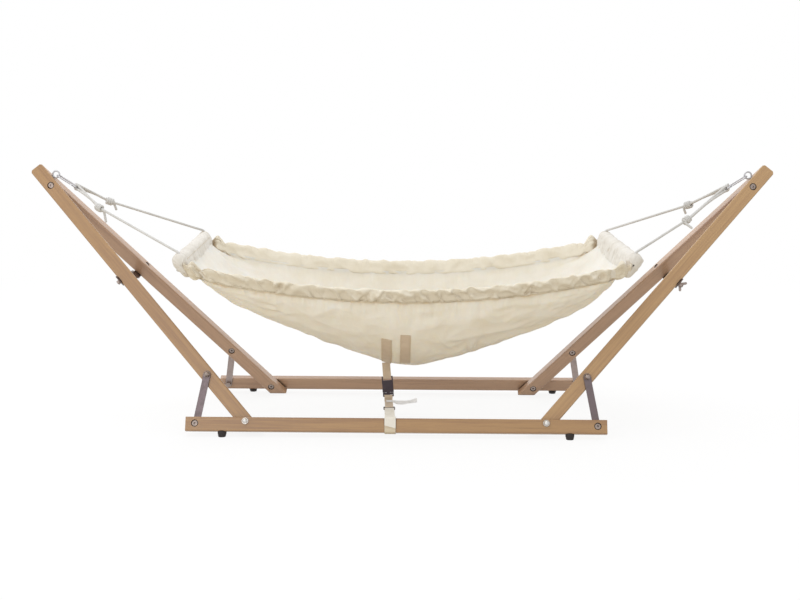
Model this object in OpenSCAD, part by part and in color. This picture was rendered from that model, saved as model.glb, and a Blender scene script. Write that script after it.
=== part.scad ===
// Swinging cradle on a wooden stand: a cotton sling hangs by four ropes and two snap hooks
// between two pairs of slanted uprights, and a short strap ties its belly to the front rail.
// Millimetres, +Z up, origin on the floor under the middle of the stand, +X to the right.

/* [Stand timber] */
// Length of each floor rail
rail_len = 994; // [800:1:1300]
// Height of a rail, measured up its tilted face
rail_h = 34; // [28:1:50]
// Thickness of a rail
rail_t = 18; // [15:1:30]
// Length of an upright from its pivot bolt to its top end
leg_len = 843.5; // [650:0.5:1100]
// Width of an upright, measured across its tilted face
leg_w = 34; // [28:1:50]
// Thickness of an upright
leg_t = 24; // [18:1:32]
// Lean of each rail and its uprights away from vertical
tilt = 21; // [17:0.5:26]
// Slope of an upright in its own tilted plane
leg_slope = 48.9; // [42:0.1:60]
// Rounding of the timber's long edges
edge_r = 3; // [1:0.5:6]
// Length of the flat seat that joins the two uprights of an end
seat_len = 67.5; // [60:0.5:75]

/* [Stand joints] */
// Distance of the pivot bolt from the rail's end
pivot_inset = 142; // [120:1:180]
// Height of the pivot bolt up the rail
pivot_s = 24.5; // [20:0.5:28]
// Distance of the link's foot bolt from the rail's end
foot_bolt_inset = 22; // [16:1:40]
// Height of the link's foot bolt up the rail
foot_bolt_s = 18.5; // [12:0.5:22]
// Distance of the link's head bolt from the pivot bolt, along the upright
head_bolt_u = 151; // [120:1:200]
// Width of the steel link
link_w = 17; // [14:1:24]
// Thickness of the steel link
link_t = 3; // [2:0.5:6]
// Shank diameter of the furniture bolts
bolt_d = 8; // [6:1:8]
// Diameter of a bolt head's counterbore
cbore_d = 17; // [16:0.5:20]
// Depth of a counterbore
cbore_depth = 8; // [5:0.5:9]
// Distance of the top bolt from the upright's end
top_bolt_inset = 62.5; // [56:0.5:70]
// Place of the spreader plate along the upright, from the pivot bolt
spreader_u = 476; // [250:1:560]
// Width of the spreader plate
spreader_w = 20; // [16:1:30]
// Thickness of the spreader plate
spreader_t = 3; // [2:0.5:5]
// Diameter of the spreader bolts
spreader_bolt_d = 6; // [5:1:8]
// Distance of a rubber foot from the rail's end
foot_inset = 87; // [60:1:110]
// Height of the rail above the floor on its feet
foot_h = 12; // [8:1:20]
// Diameter of a rubber foot at the rail
foot_d = 21; // [18:1:26]

/* [Hanging hardware] */
// Mean radius of the eye bolt's ring
ring_r = 8.25; // [7.5:0.25:12]
// Wire diameter of the ring
ring_wire = 4; // [3:0.5:4.5]
// Height of the ring's centre above the upright's edge
eye_rise = 11.5; // [11:0.5:16]
// Length of the eye bolt's shank in the timber
eye_shank_len = 30; // [20:1:32]
// Length of the snap hook between its two bows
hook_len = 58; // [54:1:80]
// Half width of the snap hook, at the middle of its wire
hook_half_w = 10.5; // [10:0.5:16]
// Wire diameter of the snap hook
hook_wire = 4; // [3:0.5:4.5]
// Slope of the hanging snap hook below level
hook_dip = 32; // [25:1:40]

/* [Cradle] */
// Distance between the two spreader bars
sling_len = 1066; // [900:1:1200]
// Distance between the two edge casings
sling_w = 438; // [380:1:480]
// Height of the spreader bars above the floor
bar_z = 422; // [380:1:480]
// Sag of the gathered edges at mid length
edge_sag = 65; // [30:1:90]
// Drop of the belly below the spreader bars
belly_drop = 291; // [200:1:300]
// Height of the gathered edge casing
casing_h = 34; // [28:1:45]
// Thickness of the puffed casing
casing_t = 12; // [9:0.5:16]
// Thickness of the cotton cloth, as a solid
cloth_t = 2.4; // [1.5:0.1:4]
// Depth of the long folds that run out of the gathered ends
fold_depth = 9; // [0:0.5:14]
// Diameter of the spreader bars
bar_d = 20; // [16:1:26]
// Diameter of the ropes
rope_d = 6; // [5:0.5:8]

/* [Strap] */
// Width of the webbing
web_w = 20; // [15:1:25]
// Thickness of the webbing
web_t = 1.4; // [1:0.1:2]

/* [Hidden] */
$fn = 48;
big = 3000;

// Running clearance of a turning piece on its pin or bolt
run_clear = 0.06;
// Clearance of a bolt or stud in its hole
hole_clear = 0.3;
// Gap between soft pieces that lie on each other
soft_gap = 0.5;

// Places that follow from the stand's sizes, on the right-hand end
pivot_x = rail_len / 2 - pivot_inset;
foot_bolt_x = rail_len / 2 - foot_bolt_inset;
foot_x = rail_len / 2 - foot_inset;
stack = rail_t + link_t + leg_t;
leg_mid_z = -(rail_t + link_t + leg_t / 2);
seat_s = pivot_s + (leg_len - seat_len) * sin(leg_slope);
half_depth = seat_s * sin(tilt) + stack * cos(tilt);
base_z = foot_h * cos(tilt) + rail_t / 2 * sin(tilt);
head_bolt_x = pivot_x + head_bolt_u * cos(leg_slope);
head_bolt_s = pivot_s + head_bolt_u * sin(leg_slope);
link_gap = [head_bolt_x - foot_bolt_x, head_bolt_s - foot_bolt_s];
link_len = norm(link_gap);
link_angle = atan2(link_gap[1], link_gap[0]);

// Top bolt, level and square to the seam
top_bolt_u = leg_len - top_bolt_inset;
top_bolt_s = pivot_s + top_bolt_u * sin(leg_slope);
top_bolt_x = pivot_x + top_bolt_u * cos(leg_slope);
top_bolt_z = base_z + top_bolt_s * cos(tilt) - (rail_t + link_t) * sin(tilt);
top_face_y = half_depth - top_bolt_s * sin(tilt) - (rail_t + link_t) * cos(tilt);
top_floor_y = top_face_y - cbore_depth;

// Eye bolt, in the seam between the two uprights
seam_angle = atan(tan(leg_slope) / cos(tilt));
seam_s = (top_bolt_z - base_z + half_depth * tan(tilt)) * cos(tilt);
seam_x = pivot_x + (seam_s - pivot_s) / tan(leg_slope);
seam_half_w = leg_w / 2 / sin(leg_slope) * sin(seam_angle);
eye_along = 11;
eye_x = seam_x + eye_along * cos(seam_angle) - (seam_half_w + eye_rise) * sin(seam_angle);
eye_z = top_bolt_z + eye_along * sin(seam_angle) + (seam_half_w + eye_rise) * cos(seam_angle);
eye_shank_d = 6;

// Snap hook: p runs from the ring towards the cradle, q across the hook
hook_x = eye_x - ring_r * cos(hook_dip);
hook_z = eye_z - ring_r * sin(hook_dip);
hook_clear = 0.4;
bow_p = -((ring_wire + hook_wire) / 2 + hook_clear);
end_p = bow_p + hook_len;
corner_r = 5;
nose_p = bow_p + hook_half_w + 3;
gate_pin_p = end_p - 12;
gate_pin_r = 0.8;
tongue_r = 2.2;
tongue_t = 2;
ear_t = 1;
ear_gap = 0.3;

// Cradle: it hangs a little to the right and turned, its front edge and right end a little lower
sling_x = 18;
hang_z = 300;
hang_turn = 2.5;
hang_roll = 2;
hang_lean = -0.15;
half_len = sling_len / 2;
half_w = sling_w / 2;
casing_end_x = half_len - 26;
cuff_drop = casing_h;
cuff_slant = 16;
cuff_half_w = half_w + 7;
sling_end_x = half_len - cuff_slant;
belly_x = 21;
belly_rise = 208;
bar_half_len = half_w + 1;
rope_hole_y = half_w - 8;
slot_w = 22;
slot_t = 3.2;
elastic_w = 20;
elastic_t = 1.5;
n_along = 26;
n_across = 22;
casing_rings = 54;

// Rope points: hand-chosen knots, each a reach, y and drop from its hook, and the rope's place on the hook, q
knot_r = 7;
knot_half = 9;
stopper_r = 6;
left_rear_knot = below_hook(-1, 114.5, 52, 65.7);
left_front_knot = below_hook(-1, 118.5, -57, 71.7);
right_rear_knot = below_hook(1, 124.5, 67, 73.7);
right_front_knot = below_hook(1, 157.5, -98, 98.7);

// Place of a point a reach and a drop from the hook's ring, at a depth y
function below_hook(e, reach, y, drop) = [e * (hook_x - reach), y, hook_z - drop];
rope_q = 3.4;
rope_bend_r = (hook_wire + rope_d) / 2 + hook_clear;

// Strap and buckle; the buckle's z runs up the strap from the bottom of its base
buckle_at = [-24, -58, 56];
buckle_turn = [-9, -4.5, 0];
body_w = 28;
body_t = 9;
body_z = 11;
body_h = 30;
frame_h = 10;
bar_h = 3;
cavity_w = 22.6;
cavity_t = 5.4;
arm_x = 9;
arm_t = 4.2;
arm_len = 22;
knuckle_r = 2.2;
slot_clear = 0.8;
patch_x = [-47.4, -2];
patch_top_v = [-0.63, -0.69];
patch_low_v = -0.10;
adjuster_at = [-18, -158, 49];
adjuster_len = 25;
adjuster_t = 2.6;
loop_x = -13;
loop_w = 22;

// ---------- shared shapes ----------

module round_rect(w, h, r) {
    square([w - 2 * r, h], center = true);
    square([w, h - 2 * r], center = true);
    for (x = [-1, 1], y = [-1, 1])
        translate([x * (w / 2 - r), y * (h / 2 - r)]) circle(r);
}

// A disc along +z whose end face lies at the origin
module disc(d, h) {
    cylinder(d = d, h = h);
}

module hex_prism(across_flats, h) {
    cylinder(d = across_flats / cos(30), h = h, $fn = 6);
}

// x along the rail, y up its face, z out of its outer face
module front_frame() {
    translate([0, -half_depth, base_z]) rotate([90 - tilt, 0, 0]) children();
}

// x along the upright from its pivot bolt, y across it, z out of its outer face
module on_leg() {
    translate([pivot_x, pivot_s, 0]) rotate(leg_slope) children();
}

// z along the eye bolt's shank, away from the timber
module in_seam() {
    translate([eye_x, 0, eye_z]) rotate([0, -seam_angle, 0]) children();
}

// x from the ring towards the cradle, y to the rear
module on_hook() {
    translate([hook_x, 0, hook_z]) rotate([0, 180 - hook_dip, 0]) children();
}

module four_corners() {
    for (x = [0, 1], y = [0, 1]) mirror([x, 0, 0]) mirror([0, y, 0]) children();
}

module both_ends() {
    for (x = [0, 1]) mirror([x, 0, 0]) children();
}

// The cradle's own frame, level and centred, put where it hangs
module hung() {
    translate([sling_x, 0, hang_z]) rotate([hang_roll, -hang_lean, 0])
        translate([0, 0, -hang_z]) rotate([0, 0, hang_turn]) children();
}

// z up the strap, x across it, at the bottom of the buckle
module on_buckle() {
    translate(buckle_at) rotate(buckle_turn) children();
}

// ---------- swept and gridded solids ----------

corners = [[1, 1], [1, -1], [-1, -1], [-1, 1]];
function unit(v) = v / norm(v);
function tangent(p, i) = unit(p[min(i + 1, len(p) - 1)] - p[max(i - 1, 0)]);

// Round ring of n points about point p, square to direction t; t is never along the side s
function ring(p, t, r, n, s) =
    let (a = unit(cross(t, s)), b = cross(a, t))
    [for (k = [0 : n - 1]) p + r * (cos(360 * k / n) * a + sin(360 * k / n) * b)];

// Faces of a skin over m rings of n points, rings in order, closed by two caps
function skin_faces(m, n) = concat(
    [for (i = [0 : m - 2], k = [0 : n - 1])
        [i * n + k, i * n + (k + 1) % n, (i + 1) * n + (k + 1) % n]],
    [for (i = [0 : m - 2], k = [0 : n - 1])
        [i * n + k, (i + 1) * n + (k + 1) % n, (i + 1) * n + k]],
    [for (k = [1 : n - 2]) [0, k + 1, k]],
    [for (k = [1 : n - 2]) [(m - 1) * n, (m - 1) * n + k, (m - 1) * n + k + 1]]);

// Tube along the points p with the radii r, one for each point
module tube(p, r, n = 8, side = [0, 1, 0]) {
    rings = [for (i = [0 : len(p) - 1]) each ring(p[i], tangent(p, i), r[i], n, side)];
    polyhedron(rings, skin_faces(len(p), n), convexity = 6);
}

// Outline of a band of thickness t along the 2D points p
function band_normal(p, i) = let (d = tangent(p, i)) [-d[1], d[0]];
function band_outline(p, t) = concat(
    [for (i = [0 : len(p) - 1]) p[i] + band_normal(p, i) * t / 2],
    [for (i = [len(p) - 1 : -1 : 0]) p[i] - band_normal(p, i) * t / 2]);

// Webbing of width w along 2D points [y, z], centred on x = 0
module ribbon(p, w, t) {
    rotate([90, 0, 90]) linear_extrude(w, center = true) polygon(band_outline(p, t));
}

// ---------- stand ----------

module rail() {
    difference() {
        front_frame() translate([-rail_len / 2, rail_h / 2, -rail_t / 2]) rotate([90, 0, 90])
            linear_extrude(rail_len) round_rect(rail_h, rail_t, edge_r);
        both_ends() front_frame() {
            translate([pivot_x, pivot_s, -rail_t - 1]) disc(bolt_d + hole_clear, rail_t + 2);
            translate([foot_bolt_x, foot_bolt_s, -rail_t - 1]) disc(bolt_d + hole_clear, rail_t + 2);
            translate([foot_bolt_x, foot_bolt_s, -cbore_depth]) disc(cbore_d, cbore_depth + 1);
            translate([foot_x, -1, -rail_t / 2]) rotate([-90, 0, 0]) disc(stud_d, stud_len + 1);
        }
    }
}

module front_rail() {
    color("burlywood") rail();
}

module rear_rail() {
    color("burlywood") mirror([0, 1, 0]) rail();
}

// Timber of one upright, before its holes: foot cut level, top corners eased
module upright_blank() {
    front_frame() difference() {
        on_leg() translate([-leg_w - leg_t, 0, leg_mid_z]) rotate([0, 90, 0])
            linear_extrude(leg_len + leg_w + leg_t) round_rect(leg_t, leg_w, edge_r);
        translate([-big / 2, leg_foot_s - big, -big / 2]) cube([2 * big, big, big]);
        on_leg() for (v = [-1, 1]) translate([leg_len, v * leg_w / 2, 0]) rotate(45)
            cube([top_ease, top_ease, big], center = true);
    }
}

module upright() {
    difference() {
        upright_blank();
        translate([0, -seat_gap / 2, 0]) translate([-big, 0, -big]) cube([2 * big, big, 2 * big]);
        front_frame() {
            translate([pivot_x, pivot_s, -stack - 1]) disc(bolt_d + hole_clear, leg_t + 2);
            translate([pivot_x, pivot_s, -stack - 1]) disc(cbore_d, cbore_depth + 1);
            translate([head_bolt_x, head_bolt_s, -stack - 1]) disc(bolt_d + hole_clear, leg_t + 2);
            translate([head_bolt_x, head_bolt_s, -stack - 1]) disc(cbore_d, cbore_depth + 1);
            on_leg() translate([spreader_u, 0, leg_mid_z]) rotate([90, 0, 0]) {
                translate([0, 0, -leg_w]) disc(spreader_bolt_d + hole_clear, 2 * leg_w);
                translate([0, 0, -leg_w]) disc(recess_d, leg_w / 2 + recess_depth);
            }
        }
        translate([top_bolt_x, 1, top_bolt_z]) rotate([90, 0, 0]) disc(bolt_d + hole_clear, big);
        translate([top_bolt_x, -top_floor_y, top_bolt_z]) rotate([90, 0, 0]) disc(cbore_d, big);
        in_seam() translate([0, 0, -eye_rise - eye_shank_len - 1])
            disc(eye_shank_d + hole_clear, eye_shank_len + eye_rise);
        in_seam() translate([0, 0, -eye_rise]) disc(eye_collar_d + 2 * hole_clear, eye_rise);
    }
}

leg_foot_s = 4.5;
top_ease = 7;
seat_gap = 0.1;
recess_d = 12;
recess_depth = 5;
stud_d = 5;
stud_len = 14;

module front_left_upright() {
    color("burlywood") mirror([1, 0, 0]) upright();
}

module front_right_upright() {
    color("burlywood") upright();
}

module rear_left_upright() {
    color("tan") mirror([0, 1, 0]) mirror([1, 0, 0]) upright();
}

module rear_right_upright() {
    color("tan") mirror([0, 1, 0]) upright();
}

// Flat steel link with round ends, between the rail's plane and the upright's plane
module link() {
    front_frame() translate([foot_bolt_x, foot_bolt_s, -rail_t - link_t]) rotate(link_angle)
        linear_extrude(link_t) difference() {
            union() {
                translate([0, -link_w / 2]) square([link_len, link_w]);
                circle(d = link_w);
                translate([link_len, 0]) circle(d = link_w);
            }
            circle(d = bolt_d + hole_clear);
            translate([link_len, 0]) circle(d = bolt_d + hole_clear);
        }
}

module front_left_link() {
    color("rosybrown") mirror([1, 0, 0]) link();
}

module front_right_link() {
    color("rosybrown") link();
}

module rear_left_link() {
    color("rosybrown") mirror([1, 0, 0]) mirror([0, 1, 0]) link();
}

module rear_right_link() {
    color("rosybrown") mirror([0, 1, 0]) link();
}

// Furniture bolt along +z: round head with a hexagon socket below z = 0, shank above it
module furniture_bolt(grip) {
    difference() {
        translate([0, 0, -head_h]) disc(head_d, head_h);
        translate([0, 0, -head_h - 1]) hex_prism(socket_af, socket_depth + 1);
    }
    disc(bolt_d, grip);
}

// Domed cap nut on a washer; z = 0 is the face it bears on, the bolt's end reaches bolt_in
module cap_nut() {
    difference() {
        union() {
            disc(cap_washer_d, cap_washer_t);
            translate([0, 0, cap_washer_t]) hex_prism(nut_af, cap_hex_h);
            translate([0, 0, cap_washer_t + cap_hex_h]) rotate_extrude() intersection() {
                translate([0, -dome_sink]) circle(nut_af / 2);
                square([nut_af, nut_af]);
            }
        }
        translate([0, 0, -1]) disc(bolt_d + nut_clear, bolt_out + 1.4);
    }
}

module plain_nut(af, d, h) {
    difference() {
        hex_prism(af, h);
        translate([0, 0, -1]) disc(d + nut_clear, h + 2);
    }
}

head_d = 13;
head_h = 6;
socket_af = 5;
socket_depth = 3.5;
nut_af = 13;
nut_h = 6.5;
nut_clear = 0.1;
cap_washer_d = 15;
cap_washer_t = 1.4;
cap_hex_h = 3.4;
dome_sink = 1.2;
bolt_out = 6;

// Bolt head in the upright's inner face, shank out through spacer and rail
module pivot_bolts() {
    color("silver") four_corners() front_frame()
        translate([pivot_x, pivot_s, -stack + cbore_depth]) furniture_bolt(stack - cbore_depth + bolt_out);
}

module pivot_spacers() {
    color("dimgray") four_corners() front_frame() translate([pivot_x, pivot_s, -rail_t - link_t])
        difference() {
            disc(link_w, link_t);
            translate([0, 0, -1]) disc(bolt_d + hole_clear, link_t + 2);
        }
}

module pivot_cap_nuts() {
    color("silver") four_corners() front_frame() translate([pivot_x, pivot_s, 0]) cap_nut();
}

// Bolt head in the rail's outer face, shank in through rail and link
module link_foot_bolts() {
    color("silver") four_corners() front_frame() translate([foot_bolt_x, foot_bolt_s, -cbore_depth])
        mirror([0, 0, 1]) furniture_bolt(rail_t - cbore_depth + link_t + nut_h);
}

module link_foot_nuts() {
    color("silver") four_corners() front_frame()
        translate([foot_bolt_x, foot_bolt_s, -rail_t - link_t - nut_h]) plain_nut(nut_af, bolt_d, nut_h);
}

// Bolt head in the upright's inner face, shank out through the link
module link_head_bolts() {
    color("silver") four_corners() front_frame() translate([head_bolt_x, head_bolt_s, -stack + cbore_depth])
        furniture_bolt(leg_t - cbore_depth + link_t + bolt_out);
}

module link_head_cap_nuts() {
    color("silver") four_corners() front_frame() translate([head_bolt_x, head_bolt_s, -rail_t]) cap_nut();
}

module top_bolts() {
    color("silver") both_ends() translate([top_bolt_x, -top_floor_y, top_bolt_z]) rotate([-90, 0, 0])
        furniture_bolt(2 * top_floor_y + top_nut_h);
}

module top_bolt_nuts() {
    color("silver") both_ends() translate([top_bolt_x, top_floor_y, top_bolt_z]) rotate([-90, 0, 0])
        plain_nut(nut_af, bolt_d, top_nut_h);
}

top_nut_h = 5;

module eye_bolt() {
    color("gray") in_seam() {
        rotate([90, 0, 0]) rotate_extrude() translate([ring_r, 0]) circle(d = ring_wire);
        translate([0, 0, -eye_rise]) disc(eye_collar_d, eye_rise - ring_r - ring_wire / 2 + 1.2);
        translate([0, 0, -eye_rise - eye_shank_len]) disc(eye_shank_d, eye_shank_len + 0.5);
    }
}

eye_collar_d = 8;

module right_eye_bolt() {
    eye_bolt();
}

module left_eye_bolt() {
    mirror([1, 0, 0]) eye_bolt();
}

// Pad of the spreader plate, on the lower edge of the front upright
module spreader_pad() {
    front_frame() on_leg() difference() {
        translate([spreader_u - spreader_w / 2, -leg_w / 2 - spreader_t, -stack - 1])
            cube([spreader_w, spreader_t, leg_t + spreader_over + 1]);
        translate([spreader_u, 0, leg_mid_z]) rotate([90, 0, 0])
            disc(spreader_bolt_d + hole_clear, big / 10);
    }
}

// Thin slice at the inner end of that pad, where the middle of the plate starts
module spreader_slice() {
    front_frame() on_leg() translate([spreader_u - spreader_w / 2, -leg_w / 2 - spreader_t, -stack - 1])
        cube([spreader_w, spreader_t, 0.6]);
}

module spreader_plate() {
    color("saddlebrown") {
        spreader_pad();
        mirror([0, 1, 0]) spreader_pad();
        hull() {
            spreader_slice();
            mirror([0, 1, 0]) spreader_slice();
        }
    }
}

spreader_over = 6;
washer_t = 1.2;
washer_d = 13;

module right_spreader_plate() {
    spreader_plate();
}

module left_spreader_plate() {
    mirror([1, 0, 0]) spreader_plate();
}

// z out of the upright's lower edge, from the plate's outer face
module on_plate() {
    front_frame() on_leg() translate([spreader_u, -leg_w / 2 - spreader_t, leg_mid_z])
        rotate([90, 0, 0]) children();
}

// Pan-headed bolt from the recess in the upper edge to past the nut on the plate
module spreader_bolt(out) {
    on_plate() {
        translate([0, 0, -spreader_t - leg_w + recess_depth]) {
            translate([0, 0, -3]) disc(recess_d - 1.5, 3);
            disc(spreader_bolt_d, spreader_t + leg_w - recess_depth + out);
        }
    }
}

wing_hub_h = 7;
wing_hub_d = 11;
wing_gap = 0.3;

module spreader_bolts() {
    color("silver") {
        spreader_bolt(wing_hub_h + 3);
        mirror([1, 0, 0]) mirror([0, 1, 0]) spreader_bolt(wing_hub_h + 3);
        mirror([1, 0, 0]) spreader_bolt(lock_nut_h + 1);
        mirror([0, 1, 0]) spreader_bolt(lock_nut_h + 1);
    }
}

lock_nut_h = 6;
lock_nut_af = 10;

module spreader_lock_nuts() {
    color("silver") {
        mirror([1, 0, 0]) on_plate() plain_nut(lock_nut_af, spreader_bolt_d, lock_nut_h);
        mirror([0, 1, 0]) on_plate() plain_nut(lock_nut_af, spreader_bolt_d, lock_nut_h);
    }
}

// Wing nut: round hub and two leaning wings with round ends
module wing_nut() {
    color("silver") on_plate() translate([0, 0, wing_gap]) difference() {
        union() {
            disc(wing_hub_d, wing_hub_h);
            for (a = [0, 180]) rotate(a) translate([0, wing_t / 2, 0]) rotate([90, 0, 0])
                linear_extrude(wing_t) {
                    polygon([[2.5, 1], [5, 0.5], [wing_x + 2.5, 8.5], [wing_x - 2.2, 12], [2.5, wing_hub_h]]);
                    translate([wing_x, 10]) circle(3);
                }
        }
        translate([0, 0, -1]) disc(spreader_bolt_d + 2 * run_clear, wing_hub_h + 8);
    }
}

wing_t = 2.2;
wing_x = 11;

module right_wing_nut() {
    wing_nut();
}

module left_wing_nut() {
    mirror([1, 0, 0]) mirror([0, 1, 0]) wing_nut();
}

// Tapered rubber foot with a rounded end, flattened where it stands on the floor
module rubber_feet() {
    color("dimgray") four_corners() difference() {
        front_frame() translate([foot_x, 0, -rail_t / 2]) rotate([90, 0, 0]) rotate_extrude() difference() {
            union() {
                polygon([[0, 0], [foot_d / 2, 0], [foot_d / 2, 4], [foot_d / 2 - 2, foot_len - foot_round],
                    [foot_d / 2 - 2 - foot_round, foot_len], [0, foot_len]]);
                translate([foot_d / 2 - 2 - foot_round, foot_len - foot_round]) circle(foot_round);
            }
            translate([0, -1]) square([stud_d / 2, stud_in + 1]);
            translate([0, stud_in - 2]) square([stud_d / 2 + 2, 2]);
        }
        translate([-big, -big, -big]) cube([2 * big, 2 * big, big]);
    }
}

foot_len = foot_h + 4;
foot_round = 4;
stud_in = 6;

// Flanged stud moulded into each foot and screwed into the rail
module foot_studs() {
    color("silver") four_corners() front_frame() translate([foot_x, 0, -rail_t / 2]) rotate([90, 0, 0]) {
        translate([0, 0, -stud_len]) disc(stud_d, stud_len + stud_in - 1);
        translate([0, 0, stud_in - 2]) disc(stud_d + 4, 2);
    }
}

// ---------- snap hooks ----------

// Wire route of the hook in its own plane: nose, ring bow, spine, rope bow, gate hinge
function arc_points(c, r, a0, a1, n) =
    [for (i = [0 : n]) let (a = a0 + (a1 - a0) * i / n) [c[0] + r * cos(a), c[1] + r * sin(a), 0]];
hook_route = concat(
    [[nose_p, -hook_half_w, 0]],
    arc_points([bow_p + hook_half_w, 0], hook_half_w, 270, 90, 10),
    arc_points([end_p - corner_r, hook_half_w - corner_r], corner_r, 90, 0, 3),
    arc_points([end_p - corner_r, corner_r - hook_half_w], corner_r, 0, -90, 3),
    [[gate_pin_p + tongue_r + 1, -hook_half_w, 0]]);

module hook() {
    color("silver") on_hook() difference() {
        union() {
            tube(hook_route, [for (p = hook_route) hook_wire / 2], 10, [0, 0, 1]);
            for (z = [tongue_t / 2 + ear_gap, -tongue_t / 2 - ear_gap - ear_t])
                translate([0, -hook_half_w, z]) linear_extrude(ear_t) {
                    translate([gate_pin_p, 0]) circle(tongue_r + 0.2);
                    translate([gate_pin_p, -1.7]) square([tongue_r + 3, 3.4]);
                }
        }
        translate([gate_pin_p, -hook_half_w, -5]) disc(2 * gate_pin_r, 10);
    }
}

module right_hook() {
    hook();
}

module left_hook() {
    mirror([1, 0, 0]) hook();
}

module hook_gate() {
    color("gainsboro") on_hook() translate([0, -hook_half_w, 0]) difference() {
        union() {
            translate([0, 0, -tongue_t / 2]) linear_extrude(tongue_t) {
                translate([gate_pin_p, 0]) circle(tongue_r);
                translate([gate_pin_p - 6, -1.6]) square([6, 3.2]);
            }
            translate([nose_p + 1.2, 0, 0]) rotate([0, 90, 0])
                disc(hook_wire, gate_pin_p - nose_p - 1.2 - tongue_r - 2.2);
        }
        translate([gate_pin_p, 0, -5]) disc(2 * (gate_pin_r + run_clear), 10);
    }
}

module right_hook_gate() {
    hook_gate();
}

module left_hook_gate() {
    mirror([1, 0, 0]) hook_gate();
}

module hook_gate_pins() {
    color("dimgray") both_ends() on_hook()
        translate([gate_pin_p, -hook_half_w, -tongue_t / 2 - ear_gap - ear_t])
            disc(2 * gate_pin_r, tongue_t + 2 * (ear_gap + ear_t));
}

// ---------- cradle ----------

// Height of the gathered edge and of the belly at the place t along the sling, -1 to 1
function edge_z(t) = bar_z - edge_sag * (1 - t * t);
function belly_z(t) = bar_z - belly_drop + belly_rise * pow(abs(t - belly_x / half_len), 1.37);
function end_close(t) = sqrt(max(0, 1 - pow(abs(t), 9)));
function sling_top(t) = edge_z(t * sling_end_x / half_len) - casing_h - soft_gap;
function sling_depth(t) = (sling_top(t) - belly_z(t * sling_end_x / half_len)) * end_close(t);

// Long folds that fade towards the middle and die out at both seams
function fold(t, v) = fold_depth * pow(abs(t), 2.2) * end_close(t) * cos(90 * v) * cos(720 * v);

// Point of the sling's outer face at t along and v across, both -1 to 1, moved out by d
function sling_point(t, v, d) =
    let (a = 90 * v, off = d + fold(t, v))
    [t * sling_end_x, (half_w + off - casing_t / 4) * sin(a),
        sling_top(t) - (abs(t) > 0.999 ? cloth_t + d : (sling_depth(t) + off * end_close(t)) * cos(a))];

// Rows of a grid of points, a rows of b points; two such grids make one closed sheet
function sheet_faces(a, b) = let (n = a * b) concat(
    [for (i = [0 : a - 2], k = [0 : b - 2]) [i * b + k, (i + 1) * b + k + 1, i * b + k + 1]],
    [for (i = [0 : a - 2], k = [0 : b - 2]) [i * b + k, (i + 1) * b + k, (i + 1) * b + k + 1]],
    [for (i = [0 : a - 2], k = [0 : b - 2]) [n + i * b + k, n + i * b + k + 1, n + (i + 1) * b + k + 1]],
    [for (i = [0 : a - 2], k = [0 : b - 2]) [n + i * b + k, n + (i + 1) * b + k + 1, n + (i + 1) * b + k]],
    [for (i = [0 : a - 2], e = [0, 1]) let (p = i * b, q = p + b)
        e == 0 ? [p, n + q, q] : [p, n + p, n + q]],
    [for (i = [0 : a - 2], e = [0, 1]) let (p = i * b + b - 1, q = p + b)
        e == 0 ? [p, q, n + q] : [p, n + q, n + p]],
    [for (k = [0 : b - 2], e = [0, 1]) e == 0 ? [k, k + 1, n + k + 1] : [k, n + k + 1, n + k]],
    [for (k = [0 : b - 2], e = [0, 1]) let (p = (a - 1) * b + k)
        e == 0 ? [p, n + p + 1, p + 1] : [p, n + p, n + p + 1]]);

module sling() {
    rows = [for (d = [0, -cloth_t], i = [0 : n_along], k = [0 : n_across])
        sling_point(2 * i / n_along - 1, 2 * k / n_across - 1, d)];
    color("wheat") hung() polyhedron(rows, sheet_faces(n_along + 1, n_across + 1), convexity = 8);
}

// Section of a puffed casing at x: outside ring, then the slot for the elastic
function pucker(x) = 0.5 * cos(x * 7.3) + 0.3 * cos(x * 12.1 + 40) + 0.2 * cos(x * 19.7 + 110);
function casing_ring(x) =
    let (t = x / half_len, z = edge_z(t) - casing_h / 2, g = pucker(x))
    [for (k = [9 : -1 : 0]) let (a = 36 * k + 18)
        [x, half_w + (casing_t / 2 + g) * cos(a) * (1 + 0.25 * sin(a)),
            z + (casing_h / 2 - (sin(a) > 0 ? 1 + g : 0)) * pow(abs(sin(a)), 0.8) * sign(sin(a))]];
function slot_ring(x) =
    let (t = x / half_len, z = edge_z(t) - casing_h / 2)
    [for (c = corners) [x, half_w + c[0] * slot_t / 2, z + c[1] * slot_w / 2]];

module edge_casing() {
    xs = [for (i = [0 : casing_rings]) casing_end_x * (2 * i / casing_rings - 1)];
    rings = [for (x = xs) each casing_ring(x)];
    slots = [for (x = [-casing_end_x - 1, each xs, casing_end_x + 1]) each slot_ring(x)];
    difference() {
        polyhedron(rings, skin_faces(len(xs), 10), convexity = 6);
        polyhedron(slots, skin_faces(len(xs) + 2, 4), convexity = 6);
    }
}

module rear_edge_casing() {
    color("cornsilk") hung() edge_casing();
}

module front_edge_casing() {
    color("cornsilk") hung() mirror([0, 1, 0]) edge_casing();
}

module elastic(side) {
    xs = [for (i = [0 : 20]) (casing_end_x - 3) * (i / 10 - 1)];
    rings = [for (x = xs) each [for (c = corners)
        [x, side * half_w + c[0] * elastic_t / 2,
            edge_z(x / half_len) - casing_h / 2 + c[1] * elastic_w / 2]]];
    color("white") hung() polyhedron(rings, skin_faces(len(xs), 4), convexity = 6);
}

module rear_elastic() {
    elastic(1);
}

module front_elastic() {
    elastic(-1);
}

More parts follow.
